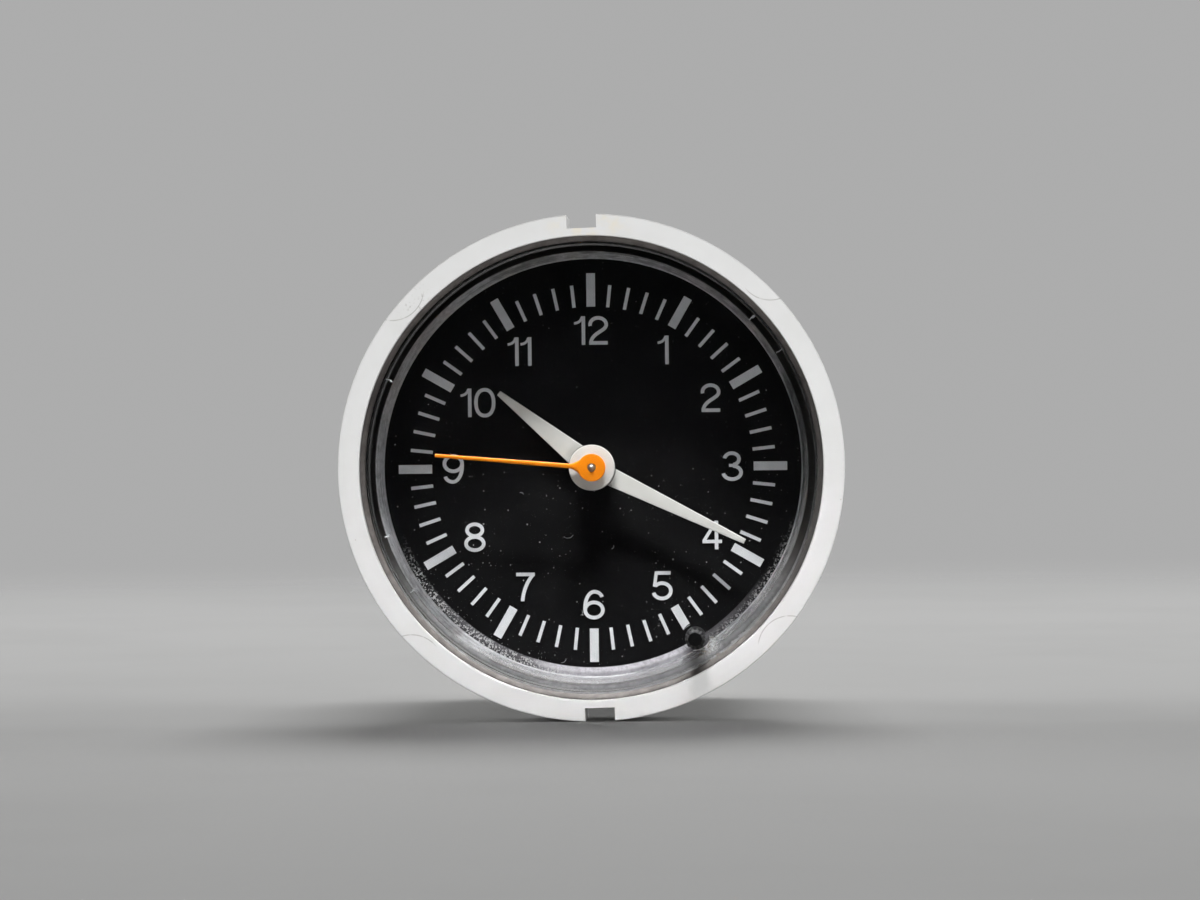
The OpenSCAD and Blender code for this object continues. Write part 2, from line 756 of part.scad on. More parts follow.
module plate_pillars() {
    color([0.75, 0.62, 0.3]) around(pillar_dirs, pillar_at) difference() {
        rod(pillar_r, rp1, fp0);
        rod(frame_screw_r + press_fit, rp1 - 1, rp1 + 3.5);
    }
}

module board_spacers() {
    color([0.75, 0.62, 0.3]) around(pillar_dirs, pillar_at)
        tube(pillar_r, frame_screw_r + 0.1, board_z1, rp0);
}

module frame_screws() {
    color([0.7, 0.7, 0.72]) around(pillar_dirs, pillar_at) difference() {
        union() {
            rod(frame_screw_r, board_z0 - 0.4, rp1 + 3);
            rod(1.3, board_z0 - 0.9, board_z0 - 0.02);
        }
        translate([-2, -0.15, board_z0 - 1.4]) cube([4, 0.3, 0.9]);
    }
}

module case_screws() {
    color([0.7, 0.7, 0.72]) around(column_dirs, column_at) difference() {
        union() {
            rod(case_screw_r - 0.12, fp0 - case_screw_l, fp1 + 0.5);
            rod(1.7, fp1 + 0.02, fp1 + 1);
        }
        translate([-2, -0.2, fp1 + 0.5]) cube([4, 0.4, 1]);
    }
}

module circuit_board() {
    color([0.1, 0.35, 0.2]) difference() {
        rod(rear_r - 0.2, board_z0, board_z1);
        around(pillar_dirs, pillar_at) rod(frame_screw_r + 0.1, board_z0 - 1, board_z1 + 1);
        pair(pin_at, coil_y) rod(0.25, board_z0 - 1, board_z1 + 1);
        pair(blade_pitch / 2, -lamp_y) translate([-tail_w / 2 - 0.05, -blade_t / 2 - 0.05, board_z0 - 1])
            cube([tail_w + 0.1, blade_t + 0.1, board_t + 2]);
    }
}

module quartz_crystal() {
    color([0.8, 0.8, 0.82]) translate([crystal_at[0], crystal_at[1], board_z0 - crystal_r - 0.1])
        rotate([-90, 0, 0]) {
        cylinder(r = crystal_r, h = crystal_l);
        for (s = [-1, 1]) translate([s * 0.5, 0, -crystal_lead]) cylinder(r = 0.2, h = crystal_lead + 0.1);
    }
}

module clock_chip() {
    x = chip_size[0] / 2;
    leg = chip_size[2] * 2 / 3;
    color([0.08, 0.08, 0.09]) translate([-x, chip_y, board_z0 - chip_size[2] - 0.2]) cube(chip_size);
    color([0.8, 0.8, 0.82]) for (s = [-1, 1], i = [0:3])
        translate([s > 0 ? x - 0.1 : -x - 0.5, chip_y + 0.7 + i * chip_pitch, board_z0 - leg])
        cube([0.6, 0.5, leg - 0.02]);
}

module storage_capacitor() {
    color([0.1, 0.12, 0.25]) translate(capacitor_at) {
        rod(capacitor_r, board_z0 - capacitor_l - 0.3, board_z0 - 0.3);
        for (s = [-1, 1]) translate([s, 0, 0]) rod(0.25, board_z0 - 0.4, board_z0 - 0.02);
    }
}

module trim_capacitor() {
    color([0.8, 0.75, 0.5]) translate(trim_at) difference() {
        rod(trim_r, board_z0 - trim_h, board_z0 - 0.02);
        translate([-0.7 * trim_r, -0.25, board_z0 - trim_h - 0.6]) cube([1.4 * trim_r, 0.5, 1.2]);
    }
}

module set_knob() {
    c = 0.25;
    color([0.05, 0.05, 0.05]) translate(knob_at) difference() {
        rotate_extrude() polygon(concat([[0, knob_z0], [knob_r, knob_z0]],
            arc(knob_r - c, knob_z1 - c, c, 0, 90, 4), [[0, knob_z1 + 0.05]]));
        for (i = [0:knob_flutes - 1]) rotate([0, 0, 360 / knob_flutes * i]) translate([knob_r + 0.1, 0, 0])
            rod(0.2, lens_front + push + 0.2, knob_z1 + 1);
        rod(stem_r + press_fit, knob_z0 - 1, knob_z1 - 1.2);
    }
}

module set_stem() {
    color([0.7, 0.7, 0.72]) translate(knob_at) difference() {
        rod(stem_r, tail_z, knob_z1 - 1.4);
        tube(stem_r + 1, stem_r - stem_groove, collar_z0 - 0.03, collar_z1 + 0.03);
    }
}

module set_pinion() {
    color([0.75, 0.62, 0.3]) translate(knob_at) difference() {
        teeth(n_stem, m_motion, stem_pinion_z, stem_pinion_z + wheel_t, turn_stem);
        rod(stem_r + press_fit, stem_pinion_z - 1, stem_pinion_z + wheel_t + 1);
    }
}

module set_collar() {
    color([0.7, 0.7, 0.72]) translate(knob_at)
        tube(collar_r, stem_r - stem_groove + running_fit, collar_z0, collar_z1);
}

// The return spring: a round wire carried along a helix, its two ends closed by flat caps
module set_spring() {
    rings = 12 * spring_turns;
    sides = 6;
    z0 = seat_z + spring_wire / 2 + 0.02;
    rise = spring_l - spring_wire - 0.04;
    points = [for (i = [0:rings], j = [0:sides - 1])
        let (a = 360 * spring_turns * i / rings, b = 360 * j / sides,
            r = spring_mean_r + spring_wire / 2 * cos(b))
        [r * cos(a), r * sin(a), z0 + rise * i / rings + spring_wire / 2 * sin(b)]];
    side_faces = [for (i = [0:rings - 1], j = [0:sides - 1]) let (k = (j + 1) % sides)
        [i * sides + j, i * sides + k, (i + 1) * sides + k, (i + 1) * sides + j]];
    ends = [[for (j = [0:sides - 1]) sides - 1 - j], [for (j = [0:sides - 1]) rings * sides + j]];
    color([0.7, 0.7, 0.72]) translate(knob_at)
        polyhedron(points = points, faces = concat(side_faces, ends), convexity = 8);
}

module clamp_studs() {
    end_z = back_z - stud_l;
    seat = back_in + 0.52;
    head_r = stud_root_r + stud_head;
    step = stud_root_r - stud_r;
    bevel = 0.4;
    color([0.75, 0.75, 0.72]) pair(stud_pitch / 2) rotate_extrude() polygon([[0, end_z],
        [stud_r - bevel, end_z], [stud_r, end_z + bevel], [stud_r, root_z - step], [stud_root_r, root_z],
        [stud_root_r, seat], [head_r, seat], [head_r, back_in + head_h], [0, back_in + head_h]]);
}

module stud_nuts() {
    color([0.75, 0.75, 0.72]) pair(stud_pitch / 2) translate([0, 0, back_z - nut_h - 0.02]) difference() {
        cylinder(r = nut_r, h = nut_h, $fn = 6);
        translate([0, 0, -1]) cylinder(r = stud_root_r + 0.03, h = nut_h + 2);
    }
}

module supply_blades() {
    z1 = back_z - blade_l;
    h = blade_w / 2;
    z0 = back_in + 1;
    color([0.8, 0.72, 0.45]) pair(blade_pitch / 2, -lamp_y) difference() {
        union() {
            translate([0, blade_t / 2, 0]) rotate([90, 0, 0]) linear_extrude(height = blade_t)
                polygon([[-h, z0], [h, z0], [h, z1 + 1], [h - 1, z1], [1 - h, z1], [-h, z1 + 1]]);
            translate([-tail_w / 2, -blade_t / 2, back_in + 0.5])
                cube([tail_w, blade_t, board_z1 + 0.8 - back_in - 0.5]);
        }
        translate([0, 0, z1 + 3.5]) rotate([90, 0, 0]) cylinder(r = 0.85, h = 4, center = true);
    }
}

module lamp_holder() {
    color([0.1, 0.1, 0.11]) translate([0, lamp_y, 0]) difference() {
        union() {
            rod(lamp_hole_r + lamp_lip, back_z - lamp_lip_t, back_z - 0.02);
            rod(lamp_hole_r - 0.1, back_z - 1, back_in + 3);
            translate([-1.2, -lamp_hole_r - 0.8, back_z - 4.4]) cube([2.4, 2 * lamp_hole_r + 1.6, 3]);
        }
        rod(bulb_r + 0.05, back_in - 1.2, back_in + 4);
        for (s = [-1, 1]) translate([s * tab_at - tab_t / 2 - 0.03, -tab_w / 2 - 0.05, back_z - 3])
            cube([tab_t + 0.06, tab_w + 0.1, back_t + 7]);
    }
}

module lamp_bulb() {
    z0 = back_in - 1.15;
    z1 = z0 + bulb_l;
    color([0.95, 0.95, 0.85]) translate([0, lamp_y, 0]) rotate_extrude()
        polygon(concat([[0, z0], [bulb_r, z0]], arc(0, z1 - bulb_r, bulb_r, 0, 90, 8)));
}

module lamp_tabs() {
    color([0.8, 0.72, 0.45]) translate([0, lamp_y, 0]) for (s = [-1, 1])
        translate([s * tab_at - tab_t / 2, -tab_w / 2, back_z - tab_out]) cube([tab_t, tab_w, tab_l]);
}

module mounted() {
    rotate([90, 0, 0]) children();
}

mounted() case();
mounted() lens();
mounted() lens_seal();
mounted() dial();
mounted() dial_marks();
mounted() hour_hand();
mounted() minute_hand();
mounted() second_hand();
mounted() hour_wheel();
mounted() cannon_pinion();
mounted() centre_wheel();
mounted() second_arbor();
mounted() second_wheel();
mounted() third_wheel();
mounted() intermediate_wheel();
mounted() minute_wheel();
mounted() setting_wheel();
mounted() rotor_magnet();
mounted() rotor_pinion();
mounted() stator();
mounted() coil_core();
mounted() coil_bobbin();
mounted() coil_winding();
mounted() coil_pins();
mounted() stator_screws();
mounted() front_plate();
mounted() rear_plate();
mounted() plate_pillars();
mounted() board_spacers();
mounted() frame_screws();
mounted() case_screws();
mounted() circuit_board();
mounted() quartz_crystal();
mounted() clock_chip();
mounted() storage_capacitor();
mounted() trim_capacitor();
mounted() set_knob();
mounted() set_stem();
mounted() set_pinion();
mounted() set_collar();
mounted() set_spring();
mounted() clamp_studs();
mounted() stud_nuts();
mounted() supply_blades();
mounted() lamp_holder();
mounted() lamp_bulb();
mounted() lamp_tabs();
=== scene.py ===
"""Looks of a round panel clock: hands, numerals, seal, knob, spring, studs and finishes, on a lit stage."""
import json
import logging
import math
from dataclasses import dataclass
from enum import Enum
from typing import Any, Iterable

import bmesh
import bpy
import numpy as np
from mathutils import Matrix, Vector


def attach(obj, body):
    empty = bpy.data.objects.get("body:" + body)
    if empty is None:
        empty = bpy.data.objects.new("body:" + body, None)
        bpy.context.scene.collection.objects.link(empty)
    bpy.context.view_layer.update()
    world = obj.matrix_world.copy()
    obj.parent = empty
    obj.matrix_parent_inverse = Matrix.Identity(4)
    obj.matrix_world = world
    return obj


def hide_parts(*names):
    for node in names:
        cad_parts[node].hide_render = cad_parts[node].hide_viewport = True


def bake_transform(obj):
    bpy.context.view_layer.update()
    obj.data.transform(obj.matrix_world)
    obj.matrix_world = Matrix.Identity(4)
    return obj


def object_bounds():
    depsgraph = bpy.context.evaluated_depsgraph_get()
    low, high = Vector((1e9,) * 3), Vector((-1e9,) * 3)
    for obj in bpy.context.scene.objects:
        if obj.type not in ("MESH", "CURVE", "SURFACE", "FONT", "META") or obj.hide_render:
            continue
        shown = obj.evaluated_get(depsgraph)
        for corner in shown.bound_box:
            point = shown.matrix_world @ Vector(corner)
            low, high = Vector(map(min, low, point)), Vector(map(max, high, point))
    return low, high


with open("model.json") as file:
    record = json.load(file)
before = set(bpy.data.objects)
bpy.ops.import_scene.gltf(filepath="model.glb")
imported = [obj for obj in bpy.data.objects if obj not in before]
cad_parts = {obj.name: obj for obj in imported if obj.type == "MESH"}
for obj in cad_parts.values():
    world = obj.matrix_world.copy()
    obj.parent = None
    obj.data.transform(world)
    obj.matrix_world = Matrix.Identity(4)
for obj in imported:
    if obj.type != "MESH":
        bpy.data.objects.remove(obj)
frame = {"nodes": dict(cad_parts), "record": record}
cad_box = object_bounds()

log = logging.getLogger("panel_clock")

MM = 0.001
TURN = 2 * math.pi
MERGE = 1e-7
Triple = tuple[float, float, float]
Rgb = Triple
Span = tuple[float, float]
Profile = Iterable[tuple[float, float]]
Socket = bpy.types.NodeSocket
Node = bpy.types.Node
Material = bpy.types.Material


# The clock's own frame


class Face:
    """The clock's frame in millimetres: u towards three o'clock, v towards twelve, w out of the dial."""

    tip_depth: float = 0.05

    @staticmethod
    def to_row(points: np.ndarray) -> np.ndarray:
        """Points (u, v, w) in millimetres as row points (u, -w, v) in metres."""
        return np.stack([points[..., 0], -points[..., 2], points[..., 1]], -1) * MM

    @staticmethod
    def node(name: str) -> np.ndarray:
        """The points of a CAD node in the clock's frame.

        Args:
            name: the node.

        Returns:
            One row (u, v, w) in millimetres per point.
        """
        mesh = frame["nodes"][name].data
        flat = np.zeros(3 * len(mesh.vertices), np.float32)
        mesh.vertices.foreach_get("co", flat)
        rows = flat.reshape(-1, 3) / MM
        return np.stack([rows[:, 0], rows[:, 2], -rows[:, 1]], -1)

    @staticmethod
    def span(name: str) -> tuple[np.ndarray, np.ndarray]:
        """Lowest and highest (u, v, w) of a CAD node."""
        points = Face.node(name)
        return points.min(0), points.max(0)

    @staticmethod
    def middle(name: str) -> np.ndarray:
        """Middle (u, v, w) of a CAD node's box."""
        low, high = Face.span(name)
        return (low + high) / 2

    @staticmethod
    def reach(name: str) -> tuple[float, float]:
        """How far a hand reaches from the axis, and the clock angle that it points to.

        Args:
            name: a CAD node that turns about the dial's axis.

        Returns:
            The length along the hand in millimetres and the angle in radians, clockwise from twelve.
        """
        flat = Face.node(name)[:, :2]
        far = np.hypot(flat[:, 0], flat[:, 1])
        tip = flat[far > far.max() - Face.tip_depth].mean(0)
        return float(np.hypot(*tip)), math.atan2(tip[0], tip[1])


# Surfaces


@dataclass
class Surface:
    """A grid of points (u, v, w), rows by columns, whose neighbours join into quads."""

    points: np.ndarray
    closed_rows: bool = False
    closed_cols: bool = True

    def quads(self, first: int) -> np.ndarray:
        """Corner numbers of the quads, counted from the number of the grid's first point.

        Args:
            first: the number of the first point in the whole mesh.

        Returns:
            One row of four corner numbers per quad.
        """
        rows, cols = self.points.shape[:2]
        i = np.arange(rows if self.closed_rows else rows - 1)
        j = np.arange(cols if self.closed_cols else cols - 1)
        i, j = np.meshgrid(i, j, indexing="ij")
        below, right = (i + 1) % rows, (j + 1) % cols
        corners = [i * cols + j, i * cols + right, below * cols + right, below * cols + j]
        return first + np.stack(corners, -1).reshape(-1, 4)

    def turned(self, angle: float) -> "Surface":
        """The same surface turned about the dial's axis: (c u + s v, c v - s u, w).

        Args:
            angle: the turn in radians, clockwise; c and s are its cosine and sine.

        Returns:
            The turned surface.
        """
        c, s = math.cos(angle), math.sin(angle)
        u, v, w = np.moveaxis(self.points, -1, 0)
        return Surface(np.stack([c * u + s * v, c * v - s * u, w], -1), self.closed_rows, self.closed_cols)

    def moved(self, du: float, dv: float) -> "Surface":
        """The same surface moved in the dial's plane."""
        return Surface(self.points + np.array([du, dv, 0.0]), self.closed_rows, self.closed_cols)


def capped(rings: np.ndarray) -> np.ndarray:
    """Closes a tube: before its first ring and behind its last one comes that ring shrunk to its middle.

    Args:
        rings: the tube's points, ring by ring.

    Returns:
        The rings with one more at each end.
    """
    first, last = rings[:1].mean(1, keepdims=True), rings[-1:].mean(1, keepdims=True)
    ends = [np.broadcast_to(p, rings[:1].shape) for p in (first, last)]
    return np.concatenate([ends[0], rings, ends[1]])


def polar(r: np.ndarray, a: np.ndarray, w: np.ndarray) -> np.ndarray:
    """Rings about the axis: (r cos a, r sin a, w), a row of r for each height w and a column for each a."""
    return np.stack([r * np.cos(a), r * np.sin(a), np.broadcast_to(w[:, None], r.shape)], -1)


def around(segments: int) -> np.ndarray:
    """The angles of one turn in even steps."""
    return np.arange(segments) * TURN / segments


def lathe(profile: Profile, segments: int = 96) -> Surface:
    """A profile turned about the axis: (r cos a, r sin a, w) for each (r, w) of it and each angle a.

    Args:
        profile: radius and height of each point, in order.
        segments: how many steps a turn has.

    Returns:
        The surface of revolution.
    """
    r, w = np.array(list(profile), float).T
    a = around(segments)
    return Surface(polar(np.outer(r, np.ones_like(a)), a, w))


def corner(r: float, w: float, radius: float, start: float, end: float, steps: int = 6) -> Profile:
    """Points of a rounded corner in a profile: an arc about (r, w) between two angles in degrees."""
    angles = np.radians(np.linspace(start, end, steps + 1))
    return [(r + radius * math.cos(a), w + radius * math.sin(a)) for a in angles]


def ribbon(path: np.ndarray, width: float, low: float, high: float, closed: bool = False) -> Surface:
    """A flat bar carried along a path: each point p gives the corners p +- n width / 2 at two heights.

    Args:
        path: points (u, v) of the middle line; n is its normal at each of them.
        width: width of the bar.
        low: height of its underside.
        high: height of its top.
        closed: whether the path runs back into its start.

    Returns:
        The bar, with capped ends where the path is open.
    """
    if closed:
        along = np.roll(path, -1, 0) - np.roll(path, 1, 0)
    else:
        along = np.gradient(path, axis=0)
    along /= np.linalg.norm(along, axis=1, keepdims=True)
    side = np.stack([-along[:, 1], along[:, 0]], -1) * width / 2
    corners = [(path + side, low), (path + side, high), (path - side, high), (path - side, low)]
    rings = np.stack([np.column_stack([p, np.full(len(p), w)]) for p, w in corners], 1)
    return Surface(rings if closed else capped(rings), closed_rows=closed)


def tube(path: np.ndarray, radius: float, sides: int) -> Surface:
    """A round thread along a path: at each point p the circle p + radius (n cos a + k sin a).

    Args:
        path: points (u, v, w) of the middle line; n is its level normal at each of them and k the w axis.
        radius: radius of the thread.
        sides: how many sides the circle has.

    Returns:
        The thread with capped ends.
    """
    along = np.gradient(path, axis=0)
    side = np.stack([-along[:, 1], along[:, 0], np.zeros(len(path))], -1)
    side /= np.linalg.norm(side, axis=1, keepdims=True)
    a = around(sides)[None, :, None]
    up = np.array([0.0, 0.0, 1.0])
    return Surface(capped(path[:, None] + radius * (np.cos(a) * side[:, None] + np.sin(a) * up)))


def smoothstep(x: np.ndarray) -> np.ndarray:
    """0 below 0, 1 above 1 and 3 x^2 - 2 x^3 between."""
    t = np.clip(x, 0.0, 1.0)
    return t * t * (3 - 2 * t)


# Shader maths


class Value:
    """A socket that carries one number, with operators that add Math nodes."""

    def __init__(self, bench: "Bench", socket: Socket) -> None:
        """Wraps a socket of a bench's tree."""
        self.bench = bench
        self.socket = socket

    def math(self, operation: str, *others: Any, first: Any = None) -> "Value":
        """A Math node on this value and others.

        Args:
            operation: the Math node's operation.
            others: numbers or values for the sockets after the first.
            first: a number for the first socket, where this value is the second operand.

        Returns:
            The result.
        """
        operands = [self, *others] if first is None else [first, self]
        made = self.bench.node("ShaderNodeMath", {"operation": operation}, dict(enumerate(operands)))
        return Value(self.bench, made.outputs[0])

    def __add__(self, other: Any) -> "Value":
        """Sum."""
        return self.math("ADD", other)

    __radd__ = __add__

    def __mul__(self, other: Any) -> "Value":
        """Product."""
        return self.math("MULTIPLY", other)

    __rmul__ = __mul__

    def __sub__(self, other: Any) -> "Value":
        """Difference."""
        return self.math("SUBTRACT", other)

    def __rsub__(self, other: Any) -> "Value":
        """A number less this value."""
        return self.math("SUBTRACT", first=other)

    def __pow__(self, other: Any) -> "Value":
        """Power."""
        return self.math("POWER", other)

    def __gt__(self, other: Any) -> "Value":
        """1 where this value is greater."""
        return self.math("GREATER_THAN", other)

    def __lt__(self, other: Any) -> "Value":
        """1 where this value is less."""
        return self.math("LESS_THAN", other)

    def __abs__(self) -> "Value":
        """Size without its sign."""
        return self.math("ABSOLUTE")

    def most(self, limit: float) -> "Value":
        """This value, or the limit where it is less."""
        return self.math("MINIMUM", limit)

    def ramp(self, low: float, high: float, start: float = 0.0, end: float = 1.0) -> "Value":
        """A smooth step.

        Args:
            low: where it starts on this value.
            high: where it ends.
            start: the result up to low.
            end: the result from high on.

        Returns:
            The result.
        """
        inputs = {0: self, 1: low, 2: high, 3: start, 4: end}
        made = self.bench.node("ShaderNodeMapRange", {"interpolation_type": "SMOOTHSTEP"}, inputs)
        return Value(self.bench, made.outputs[0])


class Bench:
    """The node tree of a material or world: one method makes any node, fields read Object coordinates."""

    def __init__(self, owner: Material | bpy.types.World) -> None:
        """Starts with an empty tree.

        Args:
            owner: the material or world that the tree belongs to.
        """
        self.owner = owner
        owner.use_nodes = True
        self.tree = owner.node_tree
        self.tree.nodes.clear()
        self.places: dict[str, Any] = {}

    @classmethod
    def material(cls, name: str) -> "Bench":
        """A bench for a new material."""
        return cls(bpy.data.materials.new(name))

    def node(self, kind: str, settings: dict[str, Any] | None = None,
             inputs: dict[int | str, Any] | None = None) -> Node:
        """Any node, its settings first and then the values or links of its sockets.

        Args:
            kind: the node's type.
            settings: the node's own properties, such as a Math node's operation.
            inputs: numbers, colours, wrapped values or sockets, by socket name or number.

        Returns:
            The node.
        """
        made = self.tree.nodes.new(kind)
        for key, setting in (settings or {}).items():
            setattr(made, key, setting)
        for key, given in (inputs or {}).items():
            given = given.socket if isinstance(given, Value) else given
            if isinstance(given, Socket):
                self.tree.links.new(given, made.inputs[key])
            else:
                made.inputs[key].default_value = given
        return made

    def place(self) -> Socket:
        """The point on the piece.

        Returns:
            A vector in the row frame, in millimetres.
        """
        if "vector" not in self.places:
            spot = self.node("ShaderNodeTexCoord").outputs["Object"]
            scaled = self.node("ShaderNodeVectorMath", {"operation": "SCALE"}, {0: spot, "Scale": 1 / MM})
            self.places["vector"] = scaled.outputs[0]
        return self.places["vector"]

    def axes(self) -> tuple[Value, Value, Value]:
        """The point in the clock's frame.

        Returns:
            Its u, v and w in millimetres.
        """
        if "axes" not in self.places:
            x, y, z = self.node("ShaderNodeSeparateXYZ", None, {0: self.place()}).outputs
            self.places["axes"] = (Value(self, x), Value(self, z), 0 - Value(self, y))
        return self.places["axes"]

    def radius(self) -> Value:
        """The point's distance from the dial's axis.

        Returns:
            The distance in millimetres.
        """
        if "radius" not in self.places:
            u, v, _ = self.axes()
            self.places["radius"] = (u * u + v * v) ** 0.5
        return self.places["radius"]

    def aim(self) -> tuple[Value, Value]:
        """The point's direction from the dial's axis.

        Returns:
            The parts of the direction towards three and towards twelve, from -1 to 1.
        """
        if "aim" not in self.places:
            u, v, _ = self.axes()
            away = self.radius() ** -1.0
            self.places["aim"] = (u * away, v * away)
        return self.places["aim"]

    def distance(self, u: float, v: float) -> Value:
        """Distance in millimetres from a line along the dial's axis."""
        x, y, _ = self.axes()
        return ((x - u) * (x - u) + (y - v) * (y - v)) ** 0.5

    def near(self, u: float, v: float, inner: float, outer: float) -> Value:
        """1 within inner millimetres of a point of the dial's plane, fading to 0 at outer."""
        return self.distance(u, v).ramp(inner, outer, 1.0, 0.0)

    def noise(self, size: float, detail: float = 2.0, stretch: Triple = (1.0, 1.0, 1.0)) -> Value:
        """Noise about 0.5 in soft blots.

        Args:
            size: about how wide a blot is, in millimetres.
            detail: how many finer layers lie on it.
            stretch: how far it is drawn out along x, y and z.

        Returns:
            The noise.
        """
        scale = tuple(1 / s for s in stretch)
        spot = self.node("ShaderNodeMapping", None, {"Vector": self.place(), "Scale": scale})
        made = self.node("ShaderNodeTexNoise", None,
                         {"Vector": spot.outputs[0], "Scale": 1 / size, "Detail": detail, "Roughness": 0.55})
        return Value(self, made.outputs[0])

    def rings(self, size: float) -> Value:
        """Noise in thin rings about the dial's axis, which drifts slowly round it.

        Args:
            size: about how wide a ring is, in millimetres.

        Returns:
            The noise.
        """
        u, v, w = self.axes()
        drift = u.math("ARCTAN2", v) * 1.5
        spot = self.node("ShaderNodeCombineXYZ", None,
                         {0: self.radius() * (1 / size), 1: w * (1 / size), 2: drift})
        made = self.node("ShaderNodeTexNoise", None,
                         {"Vector": spot.outputs[0], "Scale": 1.0, "Detail": 3.0, "Roughness": 0.6})
        return Value(self, made.outputs[0])

    def specks(self, cell: float, share: float, size: float, flat: bool = False) -> Value:
        """Round specks, one in some of the cells of a Voronoi pattern.

        Args:
            cell: width of a cell in millimetres.
            share: share of the cells that hold a speck.
            size: radius of the largest speck as a share of a cell.
            flat: whether the cells lie in the dial's plane, where none of them is missed.

        Returns:
            1 in a speck and 0 elsewhere.
        """
        spot, settings = self.place(), {}
        if flat:
            u, v, _ = self.axes()
            spot = self.node("ShaderNodeCombineXYZ", None, {0: u, 1: v}).outputs[0]
            settings = {"voronoi_dimensions": "2D"}
        cells = self.node("ShaderNodeTexVoronoi", settings, {"Vector": spot, "Scale": 1 / cell})
        parts = self.node("ShaderNodeSeparateColor", None, {0: cells.outputs["Color"]}).outputs
        chosen = Value(self, parts[0]) < share
        reach = Value(self, parts[1]) * size + size * 0.25
        return chosen * (Value(self, cells.outputs["Distance"]) - reach < 0.0)

    def mix(self, share: Any, a: Any, b: Any) -> Socket:
        """Colour a going over to colour b.

        Args:
            share: how much of b there is.
            a: a colour or its socket.
            b: a colour or its socket.

        Returns:
            The mixed colour.
        """
        a, b = ((*c, 1.0) if isinstance(c, tuple) else c for c in (a, b))
        made = self.node("ShaderNodeMix", {"data_type": "RGBA"}, {0: share, 6: a, 7: b})
        return made.outputs[2]

    def bump(self, height: Value, depth: float) -> Socket:
        """A normal from a height between 0 and 1, depth millimetres deep."""
        made = self.node("ShaderNodeBump", None, {"Strength": 1.0, "Distance": depth * MM, "Height": height})
        return made.outputs[0]

    def shader(self, **inputs: Any) -> Node:
        """A Principled shader with some of its sockets set."""
        named = {key.replace("_", " "): given for key, given in inputs.items()}
        return self.node("ShaderNodeBsdfPrincipled", None, named)

    def layer(self, share: Any, under: Node, over: Node) -> Node:
        """One shader going over to another by share."""
        return self.node("ShaderNodeMixShader", None, {0: share, 1: under.outputs[0], 2: over.outputs[0]})

    def output(self, shader: Node) -> Material:
        """Ends the tree and gives the material."""
        self.node("ShaderNodeOutputMaterial", None, {"Surface": shader.outputs[0]})
        return self.owner


# Finishes


@dataclass(frozen=True)
class Finish:
    """A moulded or painted surface: a colour that drifts in soft blots, with fine grain and stray specks."""

    name: str
    colour: Rgb
    shade: Rgb
    roughness: float = 0.5
    metallic: float = 0.0
    blot: float = 4.0
    grain: float = 0.12
    depth: float = 0.004
    gloss_drift: float = 0.12
    speck: Rgb = (0.25, 0.23, 0.2)
    speck_share: float = 0.0
    speck_cell: float = 1.4
    speck_size: float = 0.09
    stretch: Triple = (1.0, 1.0, 1.0)
    shine: float = 0.5

    def tint(self, b: Bench) -> Socket:
        """The colour over the surface: blots between colour and shade, then specks.

        Args:
            b: the bench of the material.

        Returns:
            The colour.
        """
        base = b.mix(b.noise(self.blot, 4.0, self.stretch).ramp(0.35, 0.75), self.colour, self.shade)
        if self.speck_share:
            base = b.mix(b.specks(self.speck_cell, self.speck_share, self.speck_size), base, self.speck)
        return base

    def gloss(self, b: Bench) -> Value:
        """Roughness, which drifts with the blots and the grain."""
        drift = b.noise(self.blot * 0.6, 3.0, self.stretch) - 0.5
        return drift * (2 * self.gloss_drift) + self.roughness

    def relief(self, b: Bench) -> Socket:
        """The fine grain as a normal."""
        return b.bump(b.noise(self.grain, 3.0, self.stretch), self.depth)

    def make(self) -> Material:
        """Puts colour, gloss and relief together.

        Returns:
            The material.
        """
        b = Bench.material(self.name)
        return b.output(b.shader(Base_Color=self.tint(b), Roughness=self.gloss(b), Metallic=self.metallic,
                                 Normal=self.relief(b), Specular_IOR_Level=self.shine))


@dataclass(frozen=True)
class FloorPaper(Finish):
    """Pale paper that fades out far from the clock, where the even background takes over."""

    near: float = 110.0
    far: float = 620.0

    def make(self) -> Material:
        """Matt paper, clearer with the distance from the middle.

        Returns:
            The material.
        """
        b = Bench.material(self.name)
        paper = b.shader(Base_Color=self.tint(b), Roughness=self.gloss(b), Specular_IOR_Level=self.shine)
        u, _, w = b.axes()
        fade = ((u * u + w * w) ** 0.5).ramp(self.near, self.far)
        return b.output(b.layer(fade, paper, b.node("ShaderNodeBsdfTransparent")))


@dataclass(frozen=True)
class DarkCard(Finish):
    """A dark card for gloss alone: light that has met a matt surface goes through it."""

    def make(self) -> Material:
        """Matt black, clear to rays behind a diffuse bounce.

        Returns:
            The material.
        """
        b = Bench.material(self.name)
        dark = b.shader(Base_Color=self.tint(b), Roughness=self.gloss(b), Specular_IOR_Level=self.shine)
        bounced = Value(b, b.node("ShaderNodeLightPath").outputs["Diffuse Depth"]) > 0.5
        return b.output(b.layer(bounced, dark, b.node("ShaderNodeBsdfTransparent")))


